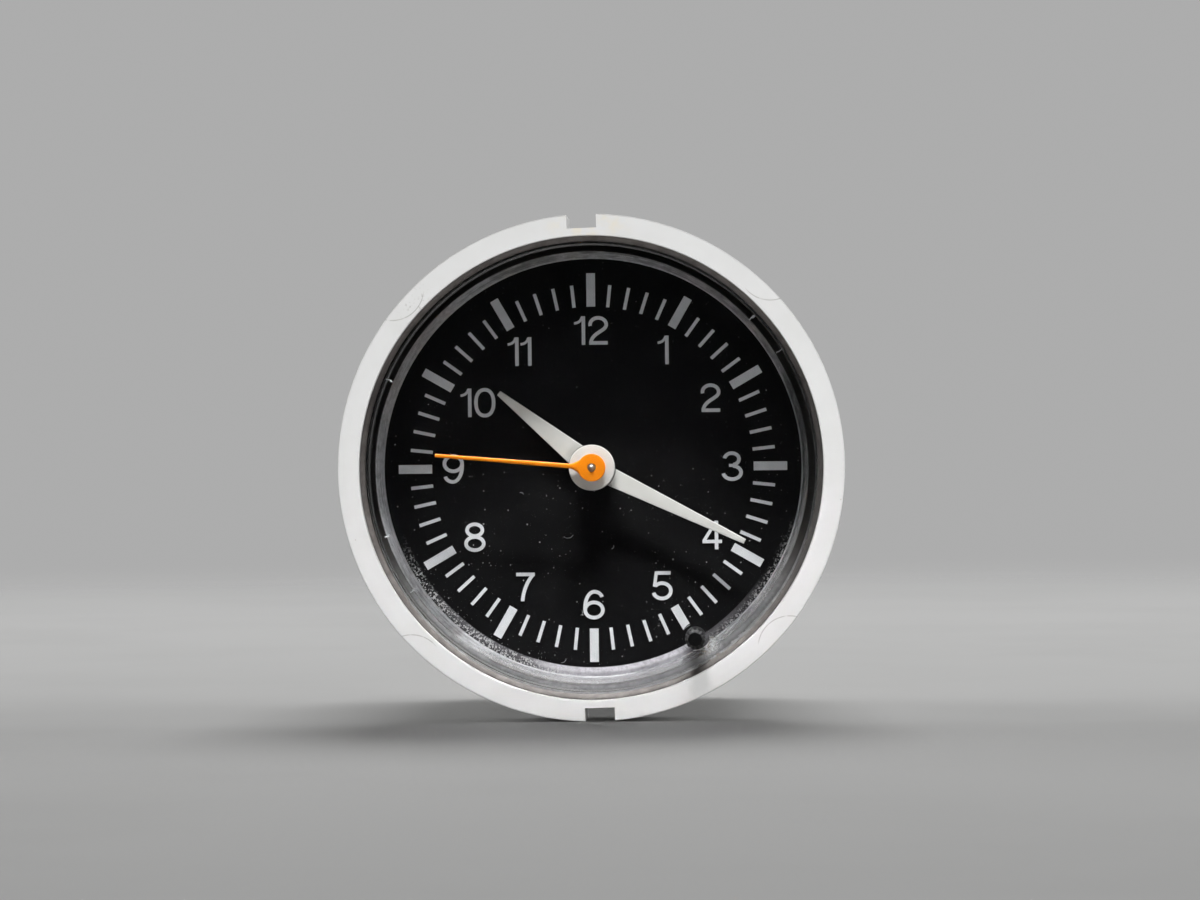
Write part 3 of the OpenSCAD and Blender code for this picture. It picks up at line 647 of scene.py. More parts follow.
@dataclass(frozen=True)
class FlangePlastic(Finish):
    """White moulded plastic with faint prints of four screw heads, a yellowed notch and handling marks."""

    front: float = 7.25
    front_edge: Span = (0.5, 0.2)
    print_radius: float = 3.75
    print_line: float = 0.055
    print_at: float = 31.65
    print_ends: Span = (20.3, 21.2)
    print_degs: tuple[float, ...] = (42.6, 132.6, -137.4, -47.4)
    print_share: float = 0.75
    print_colour: Rgb = (0.36, 0.35, 0.33)
    stain_at: float = 28.6
    stain_flat: float = 0.12
    stain_reach: Span = (0.3, 2.2)
    stain_share: float = 0.55
    yellow: Rgb = (0.78, 0.68, 0.46)
    smudge_at: Span = (-20.5, 19.8)
    smudge_reach: Span = (0.4, 3.2)
    smudge_share: float = 0.45
    dirt: Rgb = (0.3, 0.28, 0.25)

    def print_ring(self, b: Bench, deg: float) -> Value:
        """The thin ring that one screw head left.

        Args:
            b: the bench of the material.
            deg: its clock angle.

        Returns:
            1 on the ring.
        """
        turn = math.radians(deg)
        u, v = self.print_at * math.sin(turn), self.print_at * math.cos(turn)
        off = abs(b.distance(u, v) - self.print_radius)
        return off.ramp(self.print_line * 0.5, self.print_line * 1.6, 1.0, 0.0)

    def tint(self, b: Bench) -> Socket:
        """White, with a yellow stain at the notch, thin broken rings on the front and smudges at one of them.

        Args:
            b: the bench of the material.

        Returns:
            The colour.
        """
        u, v, w = b.axes()
        outer, inner = self.front_edge
        on_front = w.ramp(self.front - outer, self.front - inner)
        rise = v - self.stain_at
        stain = ((u * u * self.stain_flat + rise * rise) ** 0.5).ramp(*self.stain_reach, 1.0, 0.0)
        stain = stain * b.noise(1.3).ramp(0.35, 0.75)
        base = b.mix(stain * on_front * self.stain_share, super().tint(b), self.yellow)
        rings = sum(self.print_ring(b, deg) for deg in self.print_degs)
        broken = b.noise(0.9).ramp(0.3, 0.5) * abs(v).ramp(*self.print_ends, 1.0, 0.0)
        base = b.mix(rings * broken * on_front * self.print_share, base, self.print_colour)
        smudge = b.near(*self.smudge_at, *self.smudge_reach) * b.noise(0.35, 3.0).ramp(0.56, 0.7)
        return b.mix(smudge * on_front * self.smudge_share, base, self.dirt)


@dataclass(frozen=True)
class DustyGlass(Finish):
    """Clear glass with a little dust, which lets the lamps through."""

    index: float = 1.45
    clear: float = 0.97
    dust_cell: float = 0.8
    dust_share: float = 0.03
    dust_size: float = 0.07
    film_roughness: float = 0.6

    def motes(self, b: Bench) -> Value:
        """1 where dust lies."""
        return b.specks(self.dust_cell, self.dust_share, self.dust_size)

    def pale(self, b: Bench) -> Socket:
        """The colour of dust and dull film, in small blots."""
        return b.mix(b.noise(0.7).ramp(0.3, 0.7), self.shade, self.speck)

    def pour(self, b: Bench, rough: Any, share: Value, film: Socket) -> Material:
        """Glass that goes over to a matt film, and is open to rays from lamps.

        Args:
            b: the bench of the material.
            rough: the glass's roughness.
            share: how much of the film there is.
            film: the film's colour.

        Returns:
            The material.
        """
        glass = b.shader(Base_Color=(*self.colour, 1.0), Roughness=rough, IOR=self.index,
                         Transmission_Weight=1.0)
        matt = b.shader(Base_Color=film, Roughness=self.film_roughness)
        grey = (self.clear, self.clear, self.clear, 1.0)
        open_to = b.node("ShaderNodeBsdfTransparent", None, {"Color": grey})
        shadow = b.node("ShaderNodeLightPath").outputs["Is Shadow Ray"]
        return b.output(b.layer(shadow, b.layer(share, glass, matt), open_to))

    def make(self) -> Material:
        """Glass with dust."""
        b = Bench.material(self.name)
        return self.pour(b, self.roughness, self.motes(b), self.pale(b))


@dataclass(frozen=True)
class ClearPlastic(DustyGlass):
    """The clear dish: dull with dust and scratches on its rim, with more film above and at the sides as
    painted light, grimy at its knob, and dark on its outer wall and back as painted shade.
    """

    index: float = 1.49
    rim_from: float = 24.8
    rim_edge: float = 0.2
    window_back: Span = (4.8, 5.2)
    film: float = 0.25
    top_film: float = 4.0
    left_film: float = 5.4
    right_film: float = 0.8
    near_film: float = 0.5
    least_film: float = 0.15
    most_film: float = 0.9
    film_gloss: float = 0.3
    slope_end: Span = (1.2, 1.85)
    near_end: Span = (0.95, 1.15)
    foot: Span = (0.45, 0.35)
    foot_top: Span = (2.2, 2.6)
    scuff_reach: Span = (2.2, 7.5)
    scuff_share: float = 0.45
    nicks: tuple[Triple, ...] = (
        (47.6, 25.6, 26.4), (58.8, 25.8, 26.7), (294.0, 25.7, 26.5), (236.0, 25.4, 26.0), (252.0, 25.3, 25.8))
    nick_width: float = 0.12
    nick_end: float = 0.1
    nick_share: float = 0.9
    nick_jag: float = 0.5
    grime: Rgb = (0.3, 0.24, 0.19)
    grime_reach: Span = (1.7, 3.4)
    grime_share: float = 0.8
    crust_at: Span = (1.6, -0.9)
    crust_reach: Span = (0.7, 1.7)
    crust_share: float = 0.8
    # painted shade: the dark colour over the rim's outer wall and back
    joint: Rgb = (0.06, 0.056, 0.052)
    joint_share: float = 0.75
    wall_from: Span = (26.7, 26.78)
    wall_top: Span = (6.2, 6.4)
    back_from: Span = (25.35, 25.55)
    back_top: Span = (1.85, 1.95)
    back_below: float = 0.45
    back_rise: Span = (-21.0, -8.0)

    def haze(self, b: Bench) -> Value:
        """How much of the rim is dull: rings of fine scratches, thicker above and at the sides as painted
        light, a pale foot, and scuffs about the knob.

        Args:
            b: the bench of the material.

        Returns:
            From 0 where it is clear; more above and at the left, as painted light.
        """
        right, up = b.aim()
        _, _, w = b.axes()
        out = b.radius() - self.rim_from
        rim = out.ramp(0.0, self.rim_edge) * w.ramp(*self.window_back, 1.0, 0.0)
        # painted light: the pale film is thicker above, at the left and a little at the right
        sides = up.ramp(0.2, 0.9, 0.0, self.top_film) + right.ramp(-0.9, -0.3, self.left_film, 0.0)
        sides = sides + right.ramp(0.5, 0.9, 0.0, self.right_film)
        slope, near = out.ramp(*self.slope_end, 1.0, 0.0), out.ramp(*self.near_end, 1.0, 0.0)
        streaks = b.rings(0.12).ramp(0.3, 0.7, 0.5, 1.0) * b.noise(2.5).ramp(0.3, 0.7, 0.6, 1.0) * self.film
        dull = streaks * (sides * slope + near * self.near_film + self.least_film)
        u, v, _ = Face.middle("set_knob")
        scuffs = b.near(u, v, *self.scuff_reach) * b.noise(0.7, 4.0).ramp(0.42, 0.62) * self.scuff_share
        foot = w.ramp(*self.foot_top, 1.0, 0.0) * slope * up.ramp(-0.9, 0.0, *self.foot)
        return (rim * (dull + scuffs + foot) + self.scratches(b)).most(self.most_film)

    def scratches(self, b: Bench) -> Value:
        """Short jagged scratches across the rim, each along the ray of its clock angle between two radii.

        Args:
            b: the bench of the material.

        Returns:
            How deep a scratch is, from 0.
        """
        u, v, _ = b.axes()
        r = b.radius()
        jag = (b.noise(0.3) - 0.5) * self.nick_jag
        marks = []
        for deg, start, end in self.nicks:
            across, along = math.cos(math.radians(deg)), math.sin(math.radians(deg))
            off = abs(u * across - v * along + jag)
            forward = u * along + v * across > 0.0
            reach = r.ramp(start - self.nick_end, start) * r.ramp(end, end + self.nick_end, 1.0, 0.0)
            line = off.ramp(self.nick_width * 0.4, self.nick_width, self.nick_share, 0.0)
            marks.append(line * reach * forward)
        return sum(marks)

    def joined(self, b: Bench) -> Value:
        """Where painted shade lies: the rim's outer wall and its back, where they meet the case.

        Args:
            b: the bench of the material.

        Returns:
            1 there, and less on the back's lower part.
        """
        _, v, w = b.axes()
        r = b.radius()
        wall = r.ramp(*self.wall_from) * w.ramp(*self.wall_top, 1.0, 0.0)
        back = r.ramp(*self.back_from) * w.ramp(*self.back_top, 1.0, 0.0)
        return (wall + back * v.ramp(*self.back_rise, self.back_below, 1.0)).most(1.0)

    def make(self) -> Material:
        """Glass with a pale film where it is dull, brown grime and crust at the knob, and dark painted shade
        on its outer wall and back.

        Returns:
            The material.
        """
        b = Bench.material(self.name)
        haze, joint = self.haze(b), self.joined(b)
        u, v, _ = Face.middle("set_knob")
        grime = b.near(u, v, *self.grime_reach) * b.noise(0.5, 3.0).ramp(0.48, 0.6) * self.grime_share
        crust_u, crust_v = self.crust_at
        crust = b.near(u + crust_u, v + crust_v, *self.crust_reach) * b.noise(0.22, 3.0).ramp(0.46, 0.56)
        # painted shade: the dark colour goes over the rim's outer wall and back
        film = b.mix(joint, b.mix(grime, self.pale(b), self.grime), self.joint)
        share = haze + crust * self.crust_share + self.motes(b) + joint * self.joint_share
        return self.pour(b, haze * self.film_gloss + self.roughness, share, film)


@dataclass(frozen=True)
class SealRubber(Finish):
    """Brown rubber, paler along its upper half and a little towards seven as painted light, and black at
    three as painted shade.
    """

    bloom: Rgb = (0.31, 0.28, 0.265)
    low_bloom: float = 0.08
    low_aim: Span = (0.53, 0.85)
    black: Rgb = (0.02, 0.018, 0.017)
    black_share: float = 0.75

    def tint(self, b: Bench) -> Socket:
        """Brown, going over to a paler painted light towards twelve and a little towards seven, and to black
        painted shade at three.

        Args:
            b: the bench of the material.

        Returns:
            The colour.
        """
        right, up = b.aim()
        low_u, low_v = self.low_aim
        # painted light: paler towards twelve and a little towards seven
        above = up.ramp(-0.2, 0.8)
        below = (up * low_v + right * low_u).ramp(-0.9, -0.6, self.low_bloom, 0.0)
        # painted shade: black towards three
        brown = b.mix(right.ramp(0.6, 0.95, 0.0, self.black_share), super().tint(b), self.black)
        return b.mix((above + below) * b.noise(1.5).ramp(0.3, 0.6, 0.6, 1.0), brown, self.bloom)


@dataclass(frozen=True)
class DialLacquer(Finish):
    """Black matt lacquer with dust and grit along its lower edge and a painted glint there; each kind of
    speck is its cell, share and size.
    """

    edge: float = 24.95
    band: float = 1.05
    dust: Rgb = (0.55, 0.55, 0.55)
    fine: Triple = (0.7, 0.25, 0.1)
    fine_share: float = 0.4
    coarse: Triple = (2.2, 0.55, 0.03)
    coarse_share: float = 0.8
    # painted glint: the pale lilac colour of the band along the lower edge
    line: Rgb = (0.8, 0.78, 0.84)
    line_left: Span = (-9.0, -4.0)
    line_right: Span = (9.5, 12.5)
    grit_left: Span = (-5.0, 0.0)
    grit_right: Span = (13.0, 16.0)
    grit_most: float = 0.95
    stray: Triple = (0.4, 0.3, 0.14)
    stray_width: float = 1.5

    def tint(self, b: Bench) -> Socket:
        """Near black with dust, more of it below, then a pale painted glint and the grit of the lower edge.

        Args:
            b: the bench of the material.

        Returns:
            The colour.
        """
        below = 0 - b.aim()[1]
        fine = b.specks(*self.fine, True) * b.noise(7.0).ramp(0.42, 0.68) * self.fine_share
        coarse = b.specks(*self.coarse, True) * self.coarse_share
        base = b.mix((fine + coarse) * below.ramp(-0.5, 0.5, 0.2, 1.0), super().tint(b), self.dust)
        # painted glint along the lower edge
        base = b.mix(self.pale_line(b, below), base, self.line)
        return b.mix(self.grit(b, below), base, self.dust)

    def pale_line(self, b: Bench, below: Value) -> Value:
        """A painted glint: a pale band where the dial's lower edge meets the lens, standing in for light that
        falls there, faint past both its ends.

        Args:
            b: the bench of the material.
            below: 1 straight below the axis and -1 above it.

        Returns:
            How bright the painted glint is.
        """
        u, _, _ = b.axes()
        r = b.radius()
        inside = self.edge - self.band
        crest = r.ramp(inside - 0.05, inside + 0.05) * r.ramp(inside + 0.4, inside + 0.8, 1.0, 0.5)
        even = u.ramp(*self.line_right, 1.0, 0.12) * u.ramp(*self.line_left, 0.15, 1.0)
        return below.ramp(0.5, 0.82) * even * b.noise(0.5, 3.0).ramp(0.3, 0.65, 0.7, 1.0) * crest

    def grit(self, b: Bench, below: Value) -> Value:
        """The grit at both sides of the lower edge, with stray grains inside it.

        Args:
            b: the bench of the material.
            below: 1 straight below the axis and -1 above it.

        Returns:
            How thick the grit lies.
        """
        u, _, _ = b.axes()
        r = b.radius()
        inside = self.edge - self.band
        left = u.ramp(*self.grit_left, 1.0, 0.0) * below.ramp(0.3, 0.6)
        right = u.ramp(*self.grit_right, 0.0, 0.6) * below.ramp(0.2, 0.45)
        right = right * r.ramp(self.edge - 1.0, self.edge - 0.1)
        grains = b.noise(0.2, 2.0).ramp(0.53, 0.58) * r.ramp(inside - 0.1, inside + 0.3)
        stray = b.specks(*self.stray, True) * r.ramp(inside - self.stray_width, inside)
        stray = stray * b.noise(1.2).ramp(0.4, 0.6)
        return (grains + stray).most(self.grit_most) * (left + right)


@dataclass(frozen=True)
class HandPaint(Finish):
    """White paint, with painted shade where the arms meet the raised hub."""

    hub: float = 2.73
    hub_gap: float = 0.01
    line_reach: Span = (0.07, 0.18)
    line_share: float = 0.6
    soft_reach: Span = (0.1, 1.2)
    soft_share: float = 0.25
    # painted shade: the colour of the shade that the raised hub throws on the arms
    crease: Rgb = (0.1, 0.095, 0.085)

    def tint(self, b: Bench) -> Socket:
        """White, with painted shade: dark in a thin line beside the hub and a little grey for a short way
        along the arms.

        Args:
            b: the bench of the material.

        Returns:
            The colour.
        """
        out = b.radius() - self.hub
        line = out.ramp(*self.line_reach, self.line_share, 0.0)
        soft = out.ramp(*self.soft_reach, self.soft_share, 0.0)
        return b.mix((line + soft) * (out > self.hub_gap), super().tint(b), self.crease)


@dataclass(frozen=True)
class WorkedMetal(Finish):
    """Metal with fine marks left by turning, drawing or rolling, and dull blots."""

    metallic: float = 1.0

    def make(self) -> Material:
        """The metal, its colour and polish both drifting along the marks.

        Returns:
            The material.
        """
        b = Bench.material(self.name)
        marks = b.noise(self.grain, 4.0, self.stretch)
        base = b.mix(marks.ramp(0.3, 0.7), self.colour, self.shade)
        rough = marks * (2 * self.gloss_drift) + (self.roughness - self.gloss_drift)
        return b.output(b.shader(Base_Color=base, Roughness=rough, Metallic=self.metallic,
                                 Normal=b.bump(marks, self.depth)))


@dataclass(frozen=True)
class KnobPlastic(Finish):
    """Black plastic, scuffed grey on the upper part of the bevel of its end, the grey partly a painted
    highlight.
    """

    scuff: Rgb = (0.03, 0.03, 0.031)
    bevel: Span = (0.75, 0.45)
    flat: Span = (0.8, 0.86)
    worn_rise: Span = (-0.3, 0.2)

    def tint(self, b: Bench) -> Socket:
        """Black, going over to grey in patches between the sides and the flat end, on its upper side only:
        scuffs, partly a painted highlight where light from above falls.

        Args:
            b: the bench of the material.

        Returns:
            The colour.
        """
        u, v, _ = Face.middle("set_knob")
        top = Face.span("set_knob")[1][2]
        _, height, w = b.axes()
        outer, inner = self.bevel
        scuff_and_highlight_mask = w.ramp(top - outer, top - inner) * (1 - b.near(u, v, *self.flat))
        # painted highlight: the grey is kept to the upper side, which light from above reaches
        scuff_and_highlight_mask = scuff_and_highlight_mask * (height - v).ramp(*self.worn_rise) * b.noise(0.22, 4.0).ramp(0.35, 0.6, 0.35, 1.0)
        return b.mix(scuff_and_highlight_mask, super().tint(b), self.scuff)


@dataclass(frozen=True)
class WoundWire(Finish):
    """Enamelled wire wound in close turns along x."""

    wire: float = 0.09
    crown: float = 0.3

    def relief(self, b: Bench) -> Socket:
        """Each turn a half round: the height is the size of a sine along x."""
        u, _, _ = b.axes()
        return b.bump(abs((u * (math.pi / self.wire)).math("SINE")), self.wire * self.crown)


class Coats(Enum):
    """Every finish of the clock."""

    CASE = FlangePlastic("case_white_plastic", (0.72, 0.722, 0.718), (0.69, 0.69, 0.68), 0.42, blot=5.0,
                         grain=0.09, depth=0.003, speck_share=0.035, speck=(0.5, 0.48, 0.44))
    LENS = ClearPlastic("clear_plastic", (0.99, 0.99, 0.99), (0.8, 0.81, 0.83), 0.015,
                        speck=(0.54, 0.55, 0.57))
    SEAL = SealRubber("seal_rubber", (0.068, 0.06, 0.056), (0.12, 0.108, 0.1), 0.75, blot=1.2, grain=0.08,
                      depth=0.01, speck=(0.4, 0.37, 0.33), speck_share=0.12)
    DIAL = DialLacquer("dial_black_lacquer", (0.0055, 0.0055, 0.006), (0.009, 0.009, 0.0095), 0.55, blot=7.0,
                       grain=0.05, depth=0.0005, gloss_drift=0.06, shine=0.05)
    PRINT = Finish("dial_print_white", (0.8, 0.82, 0.84), (0.74, 0.76, 0.78), 0.6, blot=1.0, grain=0.04)
    HAND = HandPaint("hand_white_paint", (0.765, 0.764, 0.73), (0.705, 0.703, 0.662), 0.42, blot=2.5,
                     grain=0.07, depth=0.002, gloss_drift=0.08)
    SECOND = Finish("hand_orange_paint", (0.93, 0.265, 0.003), (0.88, 0.235, 0.002), 0.4, blot=2.0,
                    grain=0.06, depth=0.002, gloss_drift=0.08, shine=0.2)
    KNOB = KnobPlastic("knob_black_plastic", (0.004, 0.004, 0.0045), (0.007, 0.007, 0.0075), 0.42, blot=0.8,
                       grain=0.05, depth=0.003, speck=(0.15, 0.15, 0.15), speck_share=0.05, shine=0.2)
    STEEL = WorkedMetal("turned_steel", (0.56, 0.55, 0.55), (0.6, 0.59, 0.58), 0.46, grain=0.06, depth=0.001,
                        stretch=(3.0, 0.3, 3.0))
    BRASS = WorkedMetal("rolled_brass", (0.72, 0.53, 0.22), (0.6, 0.42, 0.17), 0.34, depth=0.002,
                        stretch=(0.5, 6.0, 0.5))
    ZINC = WorkedMetal("zinc_plate", (0.62, 0.61, 0.56), (0.5, 0.5, 0.48), 0.36, grain=0.5, depth=0.002)
    MAGNET = WorkedMetal("sintered_magnet", (0.16, 0.16, 0.17), (0.1, 0.1, 0.105), 0.5, grain=0.05,
                         depth=0.003)
    LAMINATION = WorkedMetal("annealed_iron", (0.4, 0.4, 0.42), (0.3, 0.3, 0.33), 0.42, grain=0.1,
                             depth=0.001, stretch=(6.0, 1.0, 0.5))
    TINNED = WorkedMetal("tinned_leads", (0.72, 0.72, 0.73), (0.6, 0.6, 0.62), 0.3, grain=0.1, depth=0.001)
    WHEEL = Finish("wheel_acetal", (0.74, 0.7, 0.58), (0.68, 0.64, 0.52), 0.4, blot=3.0, depth=0.001)
    PLATE = Finish("plate_plastic", (0.72, 0.71, 0.66), (0.66, 0.65, 0.6), 0.5, blot=6.0, depth=0.003)
    BOBBIN = Finish("black_moulding", (0.02, 0.02, 0.021), (0.034, 0.034, 0.035), 0.45, blot=2.0, grain=0.1,
                    speck=(0.12, 0.12, 0.12), speck_share=0.04)
    COPPER = WoundWire("wound_copper", (0.55, 0.2, 0.07), (0.42, 0.14, 0.05), 0.3, metallic=1.0, blot=1.0)
    BOARD = Finish("board_green", (0.03, 0.17, 0.07), (0.022, 0.13, 0.055), 0.35, blot=1.2, grain=0.3)
    CHIP = Finish("chip_moulding", (0.022, 0.022, 0.024), (0.03, 0.03, 0.032), 0.55, grain=0.05, depth=0.006)
    CAPACITOR = Finish("capacitor_sleeve", (0.03, 0.04, 0.13), (0.024, 0.03, 0.1), 0.3, blot=2.0, depth=0.001)
    BULB = DustyGlass("bulb_glass", (0.97, 0.97, 0.96), (0.8, 0.8, 0.78), 0.02)


SLOT_COATS: dict[str, Coats] = {
    "case_white": Coats.CASE, "clear_plastic": Coats.LENS, "seal_rubber": Coats.SEAL,
    "dial_black": Coats.DIAL, "dial_print": Coats.PRINT, "hand_white": Coats.HAND,
    "hand_orange": Coats.SECOND, "steel": Coats.STEEL, "brass": Coats.BRASS, "wheel_plastic": Coats.WHEEL,
    "plate_plastic": Coats.PLATE, "magnet": Coats.MAGNET, "lamination": Coats.LAMINATION,
    "bobbin_black": Coats.BOBBIN, "copper": Coats.COPPER, "board_green": Coats.BOARD,
    "tinned": Coats.TINNED, "chip_black": Coats.CHIP, "capacitor_blue": Coats.CAPACITOR,
    "knob_black": Coats.KNOB, "zinc": Coats.ZINC, "lamp_glass": Coats.BULB,
}


class PaintShop:
    """Makes each finish once and hands it out."""

    made: dict[Coats, Material] = {}

    @classmethod
    def coat(cls, slot: str) -> Material:
        """The finish of a material slot.

        Args:
            slot: the slot's name in the record.

        Returns:
            Its material.
        """
        which = SLOT_COATS[slot]
        if which not in cls.made:
            cls.made[which] = which.value.make()
        return cls.made[which]


# Pieces


@dataclass
class Piece:
    """A modelled piece: its surfaces, the body it rides on and what it stands for."""

    name: str
    body: str
    slot: str
    surfaces: list[Surface]
    replaces: tuple[str, ...] = ()
    sharp_deg: float = 32.0
    bends_to: tuple[str, tuple[float, ...], tuple[float, ...]] | None = None

    def build(self) -> bpy.types.Object:
        """Joins the surfaces into one mesh, closes its seams and poles and gives it its finish.

        Returns:
            The object, at the origin, riding on its body, or on no body where it is given a far end.
        """
        starts = np.cumsum([0] + [s.points[..., 0].size for s in self.surfaces[:-1]])
        points = np.concatenate([s.points.reshape(-1, 3) for s in self.surfaces])
        quads = np.concatenate([s.quads(int(n)) for s, n in zip(self.surfaces, starts)])
        mesh = bpy.data.meshes.new(self.name)
        mesh.from_pydata(Face.to_row(points), [], quads)
        self.close(mesh)
        mesh.materials.append(PaintShop.coat(self.slot))
        mesh.shade_smooth()
        mesh.set_sharp_from_angle(angle=math.radians(self.sharp_deg))
        made = bpy.data.objects.new(self.name, mesh)
        bpy.context.scene.collection.objects.link(made)
        if self.bends_to is None:
            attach(made, self.body)
        else:
            far, start, end = self.bends_to
            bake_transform(made)
            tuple(start)
            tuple(end)
        if self.replaces:
            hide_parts(*self.replaces)
        log.info("%s: %d faces on %s", self.name, len(mesh.polygons), self.body)
        return made

    @staticmethod
    def close(mesh: bpy.types.Mesh) -> None:
        """Merges the points that lie on each other and turns every face outwards.

        Args:
            mesh: the mesh to work on.
        """
        work = bmesh.new()
        work.from_mesh(mesh)
        bmesh.ops.remove_doubles(work, verts=work.verts, dist=MERGE)
        bmesh.ops.dissolve_degenerate(work, edges=work.edges, dist=MERGE)
        bmesh.ops.recalc_face_normals(work, faces=work.faces)
        work.to_mesh(mesh)
        work.free()


@dataclass
class Hands:
    """The three hands: tapering crowned blades, a raised white hub and an orange needle."""

    hour_root: float = 3.1
    minute_root: float = 2.4
    tip_width: float = 0.62
    sheet: float = 0.27
    crown: float = 0.008
    edge: float = 0.05
    steps: int = 24
    columns: int = 13
    hour_hub: float = 2.58
    minute_hub: float = 2.73
    hub_round: float = 0.08
    hub_gap: Span = (0.02, 0.01)
    hub_segments: int = 128
    bore: float = 0.5
    bore_bevel: Span = (0.05, 0.06)
    second_root: float = 0.55
    second_tip: float = 0.42
    second_hub: float = 1.65
    second_sink: float = 0.004
    neck: Span = (0.9, 2.85)
    flare: float = 0.82
    pin: float = 0.37
    pin_seat: float = 0.34
    pin_top: float = 0.05
    dome: float = 0.85
    arbor_gap: float = 0.02
    arbor_foot: Span = (0.7, 1.6)

    def blade(self, node: str, root: float, low: float) -> Surface:
        """A tapering arm whose top falls from its ridge by crown x half width x s^2, s from -1 to 1 across.

        Args:
            node: the CAD node whose length and direction it takes.
            root: width at the axis.
            low: height of the underside.

        Returns:
            The arm, turned to its hour.
        """
        length, angle = Face.reach(node)
        high = low + self.sheet
        t = np.concatenate([np.linspace(0.0, length - self.edge, self.steps),
                            [length - self.edge * 0.3, length]])
        trim = np.concatenate([np.zeros(self.steps), [self.edge * 0.3, self.edge]])
        half = (root + (self.tip_width - root) * t / length) / 2 - trim
        s = np.linspace(1.0, -1.0, self.columns)
        inner = np.maximum(half - self.edge, 0.02)
        across = [np.outer(half, [-1.0, 1.0, 1.0]), np.outer(inner, s), np.outer(half, [-1.0])]
        across = np.concatenate(across, 1)
        drop = np.outer(self.crown * half, s ** 2)
        side = high - self.edge * 0.9 - trim * 0.5
        up = [np.full((len(t), 2), low), side[:, None], high - drop - trim[:, None] * 0.5, side[:, None]]
        rings = [across, np.broadcast_to(t[:, None], across.shape), np.concatenate(up, 1)]
        return Surface(capped(np.stack(rings, -1))).turned(angle)

    def hub(self, radius: float, low: float, high: float, bore: float = 0.0) -> Surface:
        """A turned disc with a rounded edge and, where it has a bore, a bevel at the bore's mouth.

        Args:
            radius: its radius.
            low: height of its underside.
            high: height of its top.
            bore: radius of its hole.

        Returns:
            The disc about the dial's axis.
        """
        rim = [(radius, low), *corner(radius - self.hub_round, high - self.hub_round, self.hub_round, 0, 90)]
        if not bore:
            return lathe([(0.0, low), *rim, (0.0, high)], self.hub_segments)
        out, down = self.bore_bevel
        ring = lathe([(bore, low), *rim, (bore + out, high), (bore, high - down)], self.hub_segments)
        return Surface(ring.points, closed_rows=True)

    def needle(self, low: float, high: float) -> list[Surface]:
        """The second hand: a thin bar whose half width grows by flare x (1 - x)^2 along a short neck.

        Args:
            low: height of its underside.
            high: height of its top.

        Returns:
            The bar, turned to its second, and the bored disc that its neck runs into.
        """
        length, angle = Face.reach("second_hand")
        root, tip = self.second_root / 2, self.second_tip / 2
        start, end = self.neck
        t = np.concatenate([np.linspace(start, end, 22), np.linspace(end + 0.4, length, 14)])
        x = np.clip((t - start) / (end - start), 0.0, 1.0)
        half = root + (tip - root) * (t / length) + (self.second_hub * self.flare - root) * (1 - x) ** 2
        s = np.linspace(-1.0, 1.0, 9)
        up = np.concatenate([np.zeros_like(s), 1 - 0.3 * s[::-1] ** 4])
        across = np.concatenate([s, s[::-1]])
        rings = [np.outer(half, across), np.outer(t, np.ones_like(across)),
                 low + (high - self.second_sink - low) * np.outer(np.ones_like(t), up)]
        disc = self.hub(self.second_hub, low, high, self.bore)
        return [Surface(capped(np.stack(rings, -1))).turned(angle), disc]

    def arbor(self) -> Surface:
        """The second arbor: a turned shaft with a shoulder in the hand's bore and a domed pin.

        Returns:
            The arbor, whose dome is the arc (pin sin a, pin dome cos a).
        """
        low, high = Face.span("second_arbor")
        foot, top = low[2], high[2]
        seat = float(Face.span("second_hand")[1][2]) - self.pin_seat
        dome = [(self.pin * math.sin(a), top - self.pin_top - self.pin * self.dome * (1 - math.cos(a)))
                for a in np.linspace(math.pi / 2, 0.0, 10)]
        shaft = min(float(high[0]), self.bore) - self.arbor_gap
        share, length = self.arbor_foot
        profile = [(0.0, foot), (shaft * share, foot), (shaft * share, foot + length), (shaft, foot + length),
                   (shaft, seat), (self.pin, seat)]
        return lathe([*profile, *dome], 48)

    def build(self) -> None:
        """Builds the three hands and the turned arbor that shows in their middle."""
        (_, _, low), (_, _, high) = Face.span("hour_hand")
        below, above = self.hub_gap
        disc = self.hub(self.hour_hub, low, high - below)
        Piece("hour_hand_painted", "hour", "hand_white",
              [self.blade("hour_hand", self.hour_root, low), disc], ("hour_hand",)).build()
        (_, _, low), (_, _, high) = Face.span("minute_hand")
        disc = self.hub(self.minute_hub, low + above, high)
        Piece("minute_hand_painted", "minute", "hand_white",
              [self.blade("minute_hand", self.minute_root, low), disc], ("minute_hand",)).build()
        (_, _, low), (_, _, high) = Face.span("second_hand")
        Piece("second_hand_painted", "seconds", "hand_orange", self.needle(low, high),
              ("second_hand",)).build()
        Piece("second_arbor_turned", "seconds", "steel", [self.arbor()], ("second_arbor",)).build()


